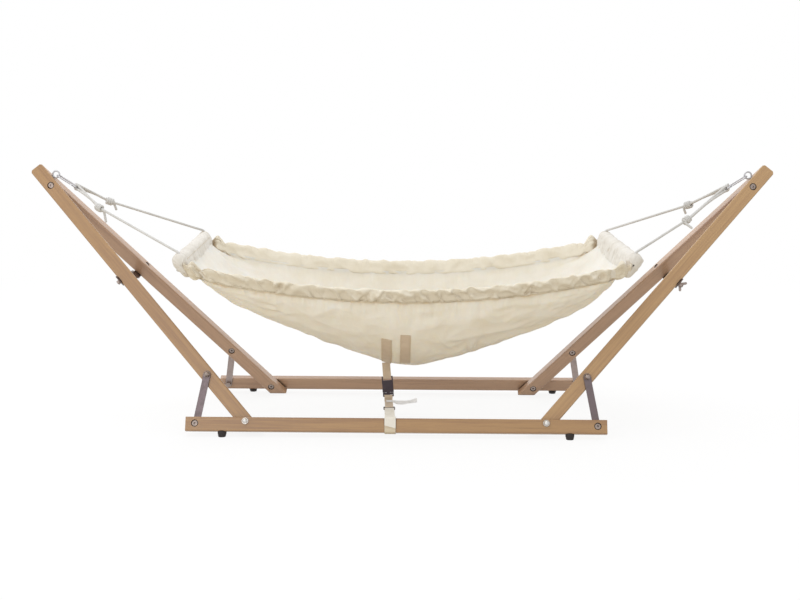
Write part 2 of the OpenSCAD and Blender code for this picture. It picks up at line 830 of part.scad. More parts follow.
// End cuff: cloth round the spreader bar and over its ends, drawn down and inwards to the sling's end
// seam; each rope leaves through a hole in its top, the stopper knot sits in a pocket below
module end_cuff() {
    translate([half_len, 0, bar_z]) difference() {
        translate([0, cuff_half_w, 0]) rotate([90, 0, 0]) union() {
            cylinder(r = cuff_r, h = 2 * cuff_half_w);
            linear_extrude(2 * cuff_half_w) polygon([[cuff_r - 3, -4], [-cuff_slant + 6, -cuff_drop],
                [-cuff_slant - 5, -cuff_drop], [3 - cuff_r, 6]]);
        }
        translate([0, bar_half_len + soft_gap, 0]) rotate([90, 0, 0])
            disc(bar_d + 2 * soft_gap, 2 * (bar_half_len + soft_gap));
        for (y = [-1, 1]) translate([0, y * rope_hole_y, 0]) {
            disc(rope_d + 4, 2 * cuff_r);
            translate([0, 0, -cuff_drop - 1]) disc(2 * stopper_r + 3, cuff_drop - 7);
        }
    }
}

cuff_r = 16;

module right_end_cuff() {
    color("cornsilk") hung() end_cuff();
}

module left_end_cuff() {
    color("cornsilk") hung() mirror([1, 0, 0]) end_cuff();
}

module spreader_bar(end) {
    color("peru") hung() translate([end * half_len, 0, bar_z]) difference() {
        translate([0, bar_half_len, 0]) rotate([90, 0, 0]) disc(bar_d, 2 * bar_half_len);
        for (y = [-1, 1]) translate([0, y * rope_hole_y, -bar_d]) disc(rope_d + 2, 2 * bar_d);
    }
}

module right_spreader_bar() {
    spreader_bar(1);
}

module left_spreader_bar() {
    spreader_bar(-1);
}

// ---------- ropes ----------

// Place of a point of the cradle's own frame once it hangs
function turn_z(p) = [p[0] * cos(hang_turn) - p[1] * sin(hang_turn), p[0] * sin(hang_turn) + p[1] * cos(hang_turn), p[2]];
function roll_y(p) = [p[0], p[1] * cos(hang_roll) - p[2] * sin(hang_roll), p[1] * sin(hang_roll) + p[2] * cos(hang_roll)];
function lean_x(p) = [p[0] * cos(hang_lean) - p[2] * sin(hang_lean), p[1], p[0] * sin(hang_lean) + p[2] * cos(hang_lean)];
function hung_at(p) = [sling_x, 0, hang_z] + lean_x(roll_y(turn_z(p) - [0, 0, hang_z]));

// Place of a point of the hook's own frame; e is -1 on the left and 1 on the right
function hook_at(e, p, q, n) =
    [e * (hook_x - p * cos(hook_dip) + n * sin(hook_dip)), q, hook_z - p * sin(hook_dip) - n * cos(hook_dip)];

// Rope from its stopper knot under the bar, through the bar, past the sliding knot, over the hook
// and back to the knot. e is the end, s the side, k the knot's centre
module rope(e, s, k, tail) {
    hole = hung_at([e * half_len, s * rope_hole_y, bar_z]);
    bend = [for (i = [0 : 8]) let (a = 90 + 22.5 * i)
        hook_at(e, end_p + rope_bend_r * cos(a), s * rope_q, -rope_bend_r * sin(a))];
    away = unit(k - (hole + [0, 0, 19]));
    low = [for (z = [-26, -23, -16, -12.5, 9, 15]) hole + [0, 0, z]];
    out = hole + [0, 0, 19] + away * 6;
    run = concat(low, [out, k - away * (knot_half + 3), k - away * knot_half, k, k + away * knot_half,
        k + away * (knot_half + 3), (k + bend[0]) / 2], bend);
    r = rope_d / 2;
    radii = concat([r, stopper_r, stopper_r, r, r, r], [r, r, knot_r * 0.85, knot_r, knot_r * 0.85, r, r],
        [for (b = bend) r]);
    slack = (bend[8] + k) / 2 + [0, 0, 3];
    union() {
        tube(run, radii, 8);
        tube([bend[8], bend[8] * 0.7 + slack * 0.3 + [0, 0, 1], slack, k], [r, r, r, r], 8);
        tube([k, k + tail * 0.5, k + tail], [r, r, r * 0.8], 8, [1, 0, 0]);
    }
}

module front_left_rope() {
    color("gainsboro") rope(-1, -1, left_front_knot, [4, -3, -26]);
}

module rear_left_rope() {
    color("gainsboro") rope(-1, 1, left_rear_knot, [6, 4, -20]);
}

module front_right_rope() {
    color("gainsboro") rope(1, -1, right_front_knot, [18, -8, -14]);
}

module rear_right_rope() {
    color("gainsboro") rope(1, 1, right_rear_knot, [8, 6, -20]);
}

// ---------- strap ----------

// Two strips sewn under the belly, on the sling's outer face
module belly_webbing() {
    steps = 10;
    color("tan") hung() for (k = [0, 1]) {
        x = patch_x[k];
        rows = [for (d = [soft_gap + web_t, soft_gap], i = [0 : 4], j = [0 : steps])
            sling_point((x - web_w / 2 + web_w * i / 4) / sling_end_x,
                patch_top_v[k] + (patch_low_v - patch_top_v[k]) * j / steps, d)];
        polyhedron(rows, sheet_faces(5, steps + 1), convexity = 4);
    }
}

// Short strap from the belly down round the top bar of the buckle socket
module upper_strap() {
    color("tan") on_buckle() ribbon([[-3.3, strap_top], [-3.3, strap_eye_z - 2.5], [-2.4, strap_eye_z - 4],
        [0, strap_eye_z - 4.4], [2.4, strap_eye_z - 4], [3.3, strap_eye_z - 2.5], [3.3, strap_eye_z + 2.5],
        [0.5, strap_eye_z + 8.5], [-1.7, strap_eye_z + 12.5], [-1.7, strap_eye_z + 32]], web_w, web_t);
}

strap_eye_z = body_z + body_h + frame_h - bar_h / 2;
strap_top = hung_at(sling_point(-43 / sling_end_x, -0.22, soft_gap + web_t))[2] - buckle_at[2] - 5.2;

// Female half: hollow body open below, side windows, ladder frame on top
module buckle_socket() {
    color("dimgray") on_buckle() difference() {
        union() {
            translate([0, 0, body_z]) linear_extrude(body_h) round_rect(body_w, body_t, 3);
            translate([0, 0, body_z + body_h - 0.01]) linear_extrude(frame_h) round_rect(body_w, 5, 2);
        }
        translate([0, 0, body_z - 1]) linear_extrude(body_h - 3) round_rect(cavity_w, cavity_t, 1);
        translate([-body_w, -cavity_t / 2, body_z + 5]) cube([2 * body_w, cavity_t, body_h - 12]);
        translate([-web_w / 2 - slot_clear, -5, body_z + body_h]) cube([web_w + 2 * slot_clear, 10, frame_h - bar_h]);
    }
}

// Male half: ladder frame with the lower strap's bar, sockets for the arms and a guide tongue
module buckle_base() {
    color("dimgray") on_buckle() difference() {
        union() {
            linear_extrude(body_z - 0.6) round_rect(body_w - 1, 5.4, 2);
            translate([0, 0, body_z - 3]) linear_extrude(20) round_rect(7, 3.4, 1);
        }
        translate([-web_w / 2 - slot_clear, -5, bar_h]) cube([web_w + 2 * slot_clear, 10, 2]);
        for (x = [-arm_x, arm_x]) {
            translate([x, -5, knuckle_z]) rotate([-90, 0, 0]) disc(2 * (knuckle_r + run_clear), 10);
            translate([x - 1.9, -5, knuckle_z]) cube([3.8, 10, 5]);
        }
    }
}

knuckle_z = body_z - 3.2;

// Spring arm of the male half: knuckle, stem and the catch that shows in the window
module buckle_arm() {
    translate([arm_x, arm_t / 2, knuckle_z]) rotate([90, 0, 0]) linear_extrude(arm_t) {
        circle(knuckle_r);
        polygon([[-1.3, 1], [1.3, 1], [1.4, 11.5], [4, 13], [4, 17.5], [0.8, arm_len + 2],
            [-0.6, arm_len + 2], [-1.2, 17.5], [-1.4, 11.5]]);
    }
}

module buckle_left_arm() {
    color("dimgray") on_buckle() mirror([1, 0, 0]) buckle_arm();
}

module buckle_right_arm() {
    color("dimgray") on_buckle() buckle_arm();
}

// y from the buckle away from the adjuster, z up, turned in plan so that the run is straight
strap_yaw = atan((adjuster_at[0] - buckle_at[0]) / (buckle_at[1] - adjuster_at[1]));
strap_run = norm([adjuster_at[0] - buckle_at[0], adjuster_at[1] - buckle_at[1]]);
module on_strap() {
    translate([buckle_at[0], buckle_at[1], 0]) rotate(strap_yaw) children();
}

// Slack strap: round the buckle's lower bar, then forward to the adjuster's near bar
lower_wrap = [[-16.5, -8.2], [-9, -5.2], [-4.4, -2.4], [0, -1.3], [2.8, -1], [3.9, 0.2], [3.9, 2.8],
    [2.8, 4], [-2.8, 4], [-3.9, 2.8], [-4.4, 1], [-7.5, -2.2], [-12, -4.6]];
lower_run = [[-10.5, 52], [-17.6, 50.4], [-30, 49], [-52, 48], [-75, 47.2], [-86, 46.4], [-91.8, 46.4],
    [-93.3, 47.8], [-93.3, 50.2], [-91.8, 51.6], [-82, 51.4], [-76, 50.2]];

module lower_strap() {
    color("tan") {
        on_buckle() ribbon(lower_wrap, web_w, web_t);
        on_strap() ribbon(lower_run, web_w, web_t);
    }
}

// Ladder-shaped adjuster, lying level behind the rail
module strap_adjuster() {
    color("dimgray") on_strap() translate([0, -strap_run, adjuster_at[2]]) difference() {
        translate([0, 0, -adjuster_t / 2]) linear_extrude(adjuster_t) round_rect(body_w, adjuster_len, 3);
        for (y = [-6.3, 6.3]) translate([0, y, 0]) cube([loop_w + 2, 4.6, 10], center = true);
    }
}

// Wide loop round the front rail, its tail passing round the adjuster's far bar
module rail_loop() {
    color("ivory") {
        front_frame() translate([loop_x, rail_h / 2, -rail_t / 2]) rotate([90, 0, 90])
            linear_extrude(loop_w, center = true) difference() {
                round_rect(rail_h + 2 * (soft_gap + web_t), rail_t + 2 * (soft_gap + web_t), edge_r + web_t);
                round_rect(rail_h + 2 * soft_gap, rail_t + 2 * soft_gap, edge_r);
            }
        on_strap() ribbon(tail_route, loop_w, web_t);
    }
}

// The tail's far end is sewn to the loop, wherever the rail stands
tail_near = -108.9;
tail_far = 72.35 - half_depth;
function tail_y(f) = tail_near + (tail_far - tail_near) * f;
tail_route = [[tail_far, 46.4], [tail_y(0.823), 47.6], [tail_y(0.646), 49], [tail_y(0.393), 50.6],
    [tail_y(0.166), 51.3], [tail_near, 51.4],
    [-107.4, 50], [-107.4, 48], [-108.9, 46.6], [-114, 46.6], [-128, 47.2]];

// Plain woven tag with one half twist, one end lying on the lower strap
module strap_tag() {
    n = 14;
    rings = [for (i = [0 : n]) let (f = i / n, g = max(0, f - 0.25) / 0.75, a = 7 - 150 * g, w = tag_w / 2,
            c = [tag_len * f - 6, -30, 51.1 + 5 * sin(180 * g)])
        each [for (q = corners) c + [0, q[0] * w * cos(a) - q[1] * 0.4 * sin(a),
            q[0] * w * sin(a) + q[1] * 0.4 * cos(a)]]];
    color("white") on_strap() polyhedron(rings, skin_faces(n + 1, 4), convexity = 4);
}

tag_w = 12;
tag_len = 82;

front_rail();
rear_rail();
front_left_upright();
front_right_upright();
rear_left_upright();
rear_right_upright();
front_left_link();
front_right_link();
rear_left_link();
rear_right_link();
pivot_bolts();
pivot_spacers();
pivot_cap_nuts();
link_foot_bolts();
link_foot_nuts();
link_head_bolts();
link_head_cap_nuts();
top_bolts();
top_bolt_nuts();
left_eye_bolt();
right_eye_bolt();
left_spreader_plate();
right_spreader_plate();
spreader_bolts();
spreader_lock_nuts();
left_wing_nut();
right_wing_nut();
rubber_feet();
foot_studs();
left_hook();
right_hook();
left_hook_gate();
right_hook_gate();
hook_gate_pins();
sling();
front_edge_casing();
rear_edge_casing();
front_elastic();
rear_elastic();
left_end_cuff();
right_end_cuff();
left_spreader_bar();
right_spreader_bar();
front_left_rope();
rear_left_rope();
front_right_rope();
rear_right_rope();
belly_webbing();
upper_strap();
buckle_socket();
buckle_base();
buckle_left_arm();
buckle_right_arm();
lower_strap();
strap_adjuster();
rail_loop();
strap_tag();
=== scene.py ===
import math

import bpy
import numpy as np
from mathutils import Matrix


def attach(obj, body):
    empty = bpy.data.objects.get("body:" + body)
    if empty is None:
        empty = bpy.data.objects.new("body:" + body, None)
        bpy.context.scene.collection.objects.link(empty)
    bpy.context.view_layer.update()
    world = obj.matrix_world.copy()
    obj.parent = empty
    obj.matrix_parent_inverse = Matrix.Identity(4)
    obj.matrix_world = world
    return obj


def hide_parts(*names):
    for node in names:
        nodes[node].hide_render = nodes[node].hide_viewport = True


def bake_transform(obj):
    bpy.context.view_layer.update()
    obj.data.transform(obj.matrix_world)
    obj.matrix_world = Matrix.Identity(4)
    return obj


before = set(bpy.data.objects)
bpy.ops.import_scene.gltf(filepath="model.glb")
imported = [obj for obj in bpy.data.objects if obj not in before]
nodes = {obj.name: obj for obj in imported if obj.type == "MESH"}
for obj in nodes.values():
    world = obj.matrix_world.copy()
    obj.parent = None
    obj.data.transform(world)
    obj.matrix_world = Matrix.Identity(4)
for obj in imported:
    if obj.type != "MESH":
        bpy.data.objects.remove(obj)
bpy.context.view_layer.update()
print("frame loaded,", len(nodes), "nodes")

scene = bpy.context.scene
scene.view_settings.view_transform = "Standard"

# camera, as fitted to the photo: metres and radians, lens and sensor in mm
viewpoint = {"eye": (0.1139, -3.2329, 0.7539), "turnLeft": 0.0344, "lookDown": 0.1419,
             "lens": 58.39, "sensor": 36}
cameraData = bpy.data.cameras.new("camera")
cameraData.lens = viewpoint["lens"]
cameraData.sensor_width = viewpoint["sensor"]
camera = bpy.data.objects.new("camera", cameraData)
camera.location = viewpoint["eye"]
camera.rotation_euler = (math.pi / 2 - viewpoint["lookDown"], 0, viewpoint["turnLeft"])
scene.collection.objects.link(camera)
scene.camera = camera


def linear(hexColour):
    # sRGB hex to linear red, green and blue, and an alpha of 1
    parts = [int(hexColour[i:i + 2], 16) / 255 for i in (0, 2, 4)]
    return tuple(c / 12.92 if c <= 0.04045 else ((c + 0.055) / 1.055) ** 2.4 for c in parts) + (1.0,)


def setInputs(owner, node, inputs):
    # gives each input its value, or the socket that feeds it
    for key, source in inputs.items():
        if isinstance(source, bpy.types.NodeSocket):
            owner.node_tree.links.new(source, node.inputs[key])
        else:
            node.inputs[key].default_value = source
    return node


def addNode(owner, kind, inputs=None, **settings):
    # one shader node of a material or of the world, with its settings and inputs
    node = owner.node_tree.nodes.new("ShaderNode" + kind)
    for key, value in settings.items():
        setattr(node, key, value)
    return setInputs(owner, node, inputs or {})


def addMath(owner, operation, *inputs):
    # one sum of numbers and sockets; MULTIPLY_ADD is the first times the second, plus the third
    return addNode(owner, "Math", dict(enumerate(inputs)), operation=operation).outputs[0]


def remap(owner, source, low, high, atLow, atHigh):
    # from atLow, where the source is low, to atHigh, where it is high
    return addNode(owner, "MapRange", {0: source, 1: low, 2: high, 3: atLow, 4: atHigh}).outputs[0]


def mixColours(owner, share, first, second):
    # the first colour where the share is 0, the second where it is 1
    return addNode(owner, "Mix", {0: share, 6: first, 7: second}, data_type="RGBA").outputs[2]


def stretched(owner, place, scale):
    # the place times a scale along each axis, which makes a pattern that much finer
    return addNode(owner, "Mapping", {"Vector": place, "Scale": scale}).outputs[0]


def noise(owner, place, scale, detail, roughness=0.5):
    inputs = {"Vector": place, "Scale": scale, "Detail": detail, "Roughness": roughness}
    return addNode(owner, "TexNoise", inputs).outputs["Fac"]


def bump(owner, height, strength, distance):
    return addNode(owner, "Bump", {"Height": height, "Strength": strength, "Distance": distance}).outputs[0]


def paintedShade(owner, surface, colour, reach, low, high, most=0.95):
    # paints shade: turns the surface towards the colour where less than a share high of the air within reach is
    # open
    openAir = addNode(owner, "AmbientOcclusion", {"Distance": reach}, samples=8).outputs["AO"]
    return mixColours(owner, remap(owner, openAir, low, high, most, 0.0), surface, linear(colour))


def directlySeen(owner):
    # 1 for what the camera sees, also in a gloss, and 0 for light on its way to other things
    rays = addNode(owner, "LightPath")
    return addMath(owner, "MAXIMUM", rays.outputs["Is Camera Ray"], rays.outputs["Is Glossy Ray"])


def newMaterial(name):
    # a material, its shader, and each point's place in the object's own frame
    material = bpy.data.materials.new(name)
    material.use_nodes = True
    place = addNode(material, "TexCoord").outputs["Object"]
    return material, material.node_tree.nodes["Principled BSDF"], place


def setRamp(node, stops):
    # stops are (position, hex colour), from low to high
    ramp = node.color_ramp
    while len(ramp.elements) > 1:
        ramp.elements.remove(ramp.elements[-1])
    ramp.elements[0].position = stops[0][0]
    ramp.elements[0].color = linear(stops[0][1])
    for position, colour in stops[1:]:
        ramp.elements.new(position).color = linear(colour)


def oiledBeech(name, along, across, stops, roughness=0.52):
    # beech, planed and oiled: long straight streaks, short dark flecks, a low soft gloss.
    # along and across are unit directions in the object's frame
    material, shader, place = newMaterial(name)
    # distances along the grain, across it and through the board
    own = [addNode(material, "VectorMath", {0: place, 1: tuple(map(float, d))}, operation="DOT_PRODUCT")
           for d in (along, across, np.cross(along, across))]
    board = addNode(material, "CombineXYZ", {k: own[k].outputs["Value"] for k in range(3)}).outputs[0]

    def streaks(scale, detail):
        return noise(material, stretched(material, board, scale), 1.0, detail, 0.6)

    broad = streaks((2.2, 55, 55), 3)       # 18 mm bands of early and late wood
    fine = streaks((9, 420, 420), 4)        # 2.4 mm streaks
    flecks = streaks((160, 900, 900), 2)    # rays, 6 mm long and 1 mm wide
    grain = addNode(material, "Mix", {0: 0.45, 2: broad, 3: fine}).outputs[0]
    tone = addNode(material, "ValToRGB", {0: grain})
    setRamp(tone, stops)
    fleckMask = remap(material, flecks, 0.60, 0.72, 0.0, 0.35)
    flecked = mixColours(material, fleckMask, tone.outputs[0], linear("8A6444"))
    # painted shade: the wood turns dark brown where little air within 8 mm is open, as in the counterbores and
    # behind the links
    shadedBeech = paintedShade(material, flecked, "3E2820", 0.008, 0.4, 0.8)
    setInputs(material, shader, {
        "Base Color": shadedBeech, "Normal": bump(material, fine, 0.25, 0.0003),
        "Roughness": remap(material, fine, 0.3, 0.7, roughness - 0.06, roughness + 0.1),
        "Coat Weight": 0.75, "Coat Roughness": 0.28, "Coat IOR": 1.6})
    return material


def steel(name, colour, roughness, metallic=1.0, grime=0.12, brushed=0.0, recessShadeReach=0.0):
    # plated or rolled steel: small soft scratches, a little unevenness in its gloss
    material, shader, place = newMaterial(name)
    spots = noise(material, place, 110.0, 4.0)
    surface = mixColours(material, remap(material, spots, 0.45, 0.75, 0.0, grime * 3), linear(colour),
                         linear("6E6862"))
    if recessShadeReach:
        # painted shade: dark brown-grey where a head sits deep in its counterbore
        surface = paintedShade(material, surface, "3E3029", recessShadeReach, 0.4, 0.85)
    lines = noise(material, stretched(material, place, (900, 900, 60)), 1.0, 2.0)
    setInputs(material, shader, {
        "Base Color": surface, "Metallic": metallic, "Normal": bump(material, lines, 0.05 + brushed, 0.0002),
        "Roughness": remap(material, spots, 0.3, 0.7, roughness - 0.05, roughness + 0.12)})
    return material


def mouldedPlastic(name, colour, roughness, dusty):
    # acetal or rubber from a mould: even colour, spark-eroded grain, dust in the grain
    material, shader, place = newMaterial(name)
    grit = noise(material, place, 1400.0, 3.0)
    dust = remap(material, noise(material, place, 90.0, 3.0), 0.5, 0.8, 0.0, 0.3)
    setInputs(material, shader, {
        "Base Color": mixColours(material, dust, linear(colour), linear(dusty)), "Roughness": roughness,
        "Normal": bump(material, grit, 0.2, 0.0001)})
    return material


def wovenCotton(name, light, shade, thread=0.0011, diagonal=0.0, depth=0.0003, foldShade=None, reach=0.014,
                through=0.0):
    # woven yarn on the piece's own UV map, which is in metres: u runs along, v across.
    # Real calico has threads 0.4 mm apart, drawn here at 1.1 mm so that they show near by.
    # Deep in its folds it turns towards a given darker colour: painted shade, for light that has passed from
    # cloth to cloth there;
    # through is how much light a single layer lets pass
    material, shader, place = newMaterial(name)
    lay = addNode(material, "UVMap", uv_map="lay").outputs[0]
    turned = addNode(material, "Mapping", {"Vector": lay, "Rotation": (0, 0, diagonal)}).outputs[0]
    split = addNode(material, "SeparateXYZ", {0: turned})
    waves = [addMath(material, "SINE", addMath(material, "MULTIPLY", split.outputs[k], math.pi / thread))
             for k in (0, 1)]
    # thick places in the yarn, 0.7 mm wide and 17 mm long, running both ways
    yarn = addMath(material, "ADD", *[noise(material, stretched(material, lay, scale), 1.0, 3.0)
                                      for scale in ((60, 1500, 1), (1500, 60, 1))])
    relief = addMath(material, "MULTIPLY_ADD", addMath(material, "MULTIPLY", *waves), 0.35, yarn)
    soft = noise(material, place, 14.0, 4.0, 0.6)
    tone = remap(material, addMath(material, "MULTIPLY_ADD", yarn, 0.3, soft), 0.55, 1.05, 0.0, 1.0)
    cloth = mixColours(material, tone, linear(shade), linear(light))
    # painted shade deep in the folds, where little air within reach is open
    if foldShade:
        cloth = paintedShade(material, cloth, foldShade, reach, 0.35, 0.9, 0.85)
    setInputs(material, shader, {
        "Base Color": cloth, "Roughness": 0.85, "Sheen Weight": 0.25, "Sheen Roughness": 0.5,
        "Subsurface Weight": through, "Subsurface Radius": (1.0, 0.85, 0.65), "Subsurface Scale": 0.004,
        "Normal": bump(material, relief, 0.6, depth)})
    return material


# Surfaces are worked out in millimetres, until they become a mesh in metres

def unit(vectors):
    # each vector divided by its length
    return vectors / np.maximum(np.linalg.norm(vectors, axis=-1, keepdims=True), 1e-9)


def xyz(x, y, z):
    # three coordinates, spread to one shape, side by side
    return np.stack(np.broadcast_arrays(x, y, z), axis=-1)


def normals(points):
    # unit normals of a grid of points, from the cross product of its two directions
    return unit(np.cross(np.gradient(points, axis=0), np.gradient(points, axis=1)))


def wrapNormals(points):
    # the same for a grid whose second direction closes on itself
    return normals(np.concatenate([points[:, -1:], points, points[:, :1]], axis=1))[:, 1:-1]


def distances(path):
    # distance of each point from the first one, along the path
    return np.concatenate([[0], np.cumsum(np.linalg.norm(np.diff(path, axis=0), axis=1))])


def readOff(values, along, marks):
    # each column of values, which belong to the distances along, read off at the marks
    return np.stack([np.interp(marks, along, column) for column in values.T], axis=-1)


def gridFaces(rows, columns, wrap):
    # quads between neighbouring rows and columns, with their places in the grid
    i, j = np.meshgrid(np.arange(rows - 1), np.arange(columns if wrap else columns - 1), indexing="ij")
    i, j = i.ravel(), j.ravel()
    corners = [(i, j), (i + 1, j), (i + 1, j + 1), (i, j + 1)]
    return np.stack([r * columns + c % columns for r, c in corners], axis=1), corners


def lengths(points, axis):
    # mean distance along the grid from its first row or column
    step = np.linalg.norm(np.diff(points, axis=axis), axis=2).mean(axis=1 - axis)
    return np.concatenate([[0], np.cumsum(step)])


def gridUv(points, corners, wrap):
    # those distances along both directions, for each corner of each quad
    closed = np.concatenate([points, points[:, :1]], axis=1) if wrap else points
    us, vs = lengths(points, 0), lengths(closed, 1)
    return np.stack([np.stack([us[r], vs[c]], axis=1) for r, c in corners], axis=1)


def walledPart(outer, inner, wrap, rims):
    # two grids back to back, joined by the rims
    rows, columns = outer.shape[:2]
    quads, corners = gridFaces(rows, columns, wrap)
    uv = gridUv(outer, corners, wrap)
    return {"points": np.concatenate([outer.reshape(-1, 3), inner.reshape(-1, 3)]),
            "faces": [quads, (quads + rows * columns)[:, ::-1], rims],
            "uv": [uv, uv[:, ::-1], np.zeros((rims.size, 2))]}


def sheetPart(points, thickness):
    # a closed sheet: the grid, a second grid one thickness below it, and four rims
    rows, columns = points.shape[:2]
    index = np.arange(rows * columns).reshape(rows, columns)
    rim = np.concatenate([index[:, 0][::-1], index[0, 1:], index[1:, -1], index[-1, ::-1][1:]])
    below = rim + rows * columns
    return walledPart(points, points - normals(points) * thickness, False,
                      np.stack([rim[:-1], rim[1:], below[1:], below[:-1]], axis=1))


def sleevePart(points, thickness):
    # an open sleeve with a wall: the second direction closes, both ends stay open
    rows, columns = points.shape[:2]
    k, n = np.arange(columns), rows * columns
    first = np.stack([k, (k + 1) % columns, n + (k + 1) % columns, n + k], axis=1)
    last = (first + (rows - 1) * columns)[:, ::-1]
    return walledPart(points, points - wrapNormals(points) * thickness, True, np.concatenate([first, last]))


def tubePart(points):
    # a tube from rings of points, closed by one flat face at each end
    rows, columns = points.shape[:2]
    quads, corners = gridFaces(rows, columns, True)
    k = np.arange(columns)[None, :]
    return {"points": points.reshape(-1, 3), "faces": [quads, k, k[:, ::-1] + (rows - 1) * columns],
            "uv": [gridUv(points, corners, True)] + [np.zeros((columns, 2))] * 2}


def direction(path):
    # unit directions of a path, from the points on either side
    return unit(np.gradient(path, axis=0))


def smoothPath(knots, step, tension=0.5):
    # a smooth curve through the knots, read off at equal steps along its length
    p = np.array(knots, float)
    p = np.concatenate([[2 * p[0] - p[1]], p, [2 * p[-1] - p[-2]]])
    s = np.linspace(0, 1, 24, endpoint=False)[:, None, None]
    a, b, c, d = (p[k:len(p) - 3 + k][None] for k in range(4))
    curve = b + tension * ((c - a) * s + (2 * a - 5 * b + 4 * c - d) * s ** 2
                           + (3 * b - a - 3 * c + d) * s ** 3)
    curve = np.concatenate([curve.transpose(1, 0, 2).reshape(-1, 3), p[-2:-1]])
    along = distances(curve)
    return readOff(curve, along, np.linspace(0, along[-1], max(int(along[-1] / step), 3)))


def circle(turn, a, b):
    # cosine times a plus sine times b, at each turn
    return np.cos(turn)[:, None] * a[..., None, :] + np.sin(turn)[:, None] * b[..., None, :]


def roundTube(path, radius, sides=20, side=(0, 1, 0), relief=None):
    # circles square to the path; relief(distance, angle) adds to the radius
    t = direction(path)
    a = unit(np.cross(t, np.array(side, float)))
    turn = np.linspace(0, 2 * math.pi, sides, endpoint=False)
    r = np.broadcast_to(np.reshape(radius, (-1, 1)), (len(path), sides))
    if relief is not None:
        r = r + relief(distances(path)[:, None], turn[None, :])
    return path[:, None] + r[..., None] * circle(turn, a, np.cross(a, t))


def strapTube(path, across, width, thickness, wave=0.0, seed=1):
    # webbing: a flat rounded section carried along the path, its width along across
    t = direction(path)
    side = np.broadcast_to(np.array(across, float), path.shape)
    side = unit(side - t * (side * t).sum(axis=1, keepdims=True))
    up = np.cross(side, t)
    xs = np.array([1, 1, .97, .8, .4, 0, -.4, -.8, -.97, -1, -1, -.97, -.8, -.4, 0, .4, .8, .97])
    hs = np.array([-.5, .5, .95, 1, 1, 1, 1, 1, .95, .5, -.5, -.95, -1, -1, -1, -1, -1, -.95]) * thickness / 2
    lift = wave * ripple(distances(path), 23.0, seed)[:, None] * np.abs(xs)
    return path[:, None] + (xs * width / 2)[:, None] * side[:, None] + (hs + lift)[..., None] * up[:, None]


def bell(x, centre, spread):
    # 1 at the centre, falling off on both sides
    return np.exp(-((x - centre) / spread) ** 2)


def rising(x):
    # from 0, far below zero, to 1, far above it
    return 1 / (1 + np.exp(-x))


def ripple(x, wave, seed):
    # an uneven wave between about -1 and 1, its crests roughly one wavelength apart
    p = np.random.default_rng(seed).uniform(0, 2 * math.pi, 6)
    w = x * 2 * math.pi / wave
    wander = 1.1 * np.sin(w / 5.3 + p[0]) + 0.8 * np.sin(w / 2.9 + p[1])
    return (0.6 * np.sin(w + wander + p[2]) + 0.3 * np.sin(w / 0.57 + 1.6 * wander + p[3])
            + 0.2 * np.sin(w / 1.83 + p[4]))


def pleats(x, wave, seed):
    # puffs with sharp valleys between them, 0 in a valley and 1 on a crest
    p = np.random.default_rng(seed).uniform(0, 2 * math.pi, 4)
    wander = 0.32 * wave * (np.sin(x / (wave * 0.9) + p[0]) + 0.7 * np.sin(x / (wave * 0.47) + p[1]))
    return np.abs(np.sin(math.pi * (x + wander) / wave + p[2])) ** 0.62


def creases(x, h, span, count, seed, length, width, height, lean, steep=0.0):
    # soft ridges with a valley beside them, laid at seeded places on the x, h plane
    g = np.random.default_rng(seed)
    total = np.zeros(np.broadcast(x, h).shape)
    for _ in range(count):
        cx, ch = g.uniform(*span[0]), g.uniform(*span[1])
        turn, reach = g.choice([-1, 1]) * (steep + g.normal(0, lean)), g.uniform(*length)
        wide, high = g.uniform(*width), g.uniform(*height) * g.choice([-1, 1])
        u = (x - cx) * math.cos(turn) + (h - ch) * math.sin(turn)
        v = -(x - cx) * math.sin(turn) + (h - ch) * math.cos(turn) + 0.0009 * u * u * g.uniform(-1, 1)
        total += high * (v / wide) * np.exp(-(v / wide) ** 2 / 2 - (u / reach) ** 2)
    return total


def crumple(x, h, size, stretch, seed):
    # a net of crisp ridges with smooth hollows between them, as in cloth that was folded small;
    # between about -1 and 1, the ridges where a sum of seeded waves passes through zero
    g = np.random.default_rng(seed)
    total = 0
    for _ in range(6):
        turn, wave, start = g.uniform(0, math.pi), size * g.uniform(0.7, 1.6), g.uniform(0, 2 * math.pi)
        total = total + np.sin(2 * math.pi * (x * math.cos(turn) / stretch + h * math.sin(turn)) / wave + start)
    return 1 - 2 * np.sqrt((total / 2.6) ** 2 + 0.004)


def volume(points, faces):
    # six times the enclosed volume, positive where the faces look outwards
    total = 0.0
    for quad in faces:
        for k in range(1, quad.shape[1] - 1):
            a, b, c = points[quad[:, 0]], points[quad[:, k]], points[quad[:, k + 1]]
            total += (a * np.cross(b, c)).sum()
    return total


def newPiece(name, parts, material, body, replaced=(), sharp=40, across=None):
    # joins parts into one mesh in metres, turns each closed part outwards, and gives it to a body, or leaves a
    # piece given across in the world frame
    allPoints, allFaces, allUv, first = [], [], [], 0
    for part in parts:
        inverted = volume(part["points"], part["faces"]) < 0
        for quad, uv in zip(part["faces"], part["uv"]):
            uv = uv.reshape(-1, quad.shape[1], 2)
            if inverted:
                quad, uv = quad[:, ::-1], uv[:, ::-1]
            allFaces += (quad + first).tolist()
            allUv.append(uv.reshape(-1, 2))
        allPoints.append(part["points"])
        first += len(part["points"])
    mesh = bpy.data.meshes.new(name)
    mesh.from_pydata((np.concatenate(allPoints) * 0.001).tolist(), [], allFaces)
    layer = mesh.uv_layers.new(name="lay")
    layer.data.foreach_set("uv", (np.concatenate(allUv) * 0.001).ravel())
    mesh.shade_smooth()
    mesh.set_sharp_from_angle(angle=math.radians(sharp))
    mesh.materials.append(material)
    piece = bpy.data.objects.new(name, mesh)
    scene.collection.objects.link(piece)
    if across:
        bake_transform(piece)
    else:
        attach(piece, body)
    if replaced:
        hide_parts(*replaced)
    return piece


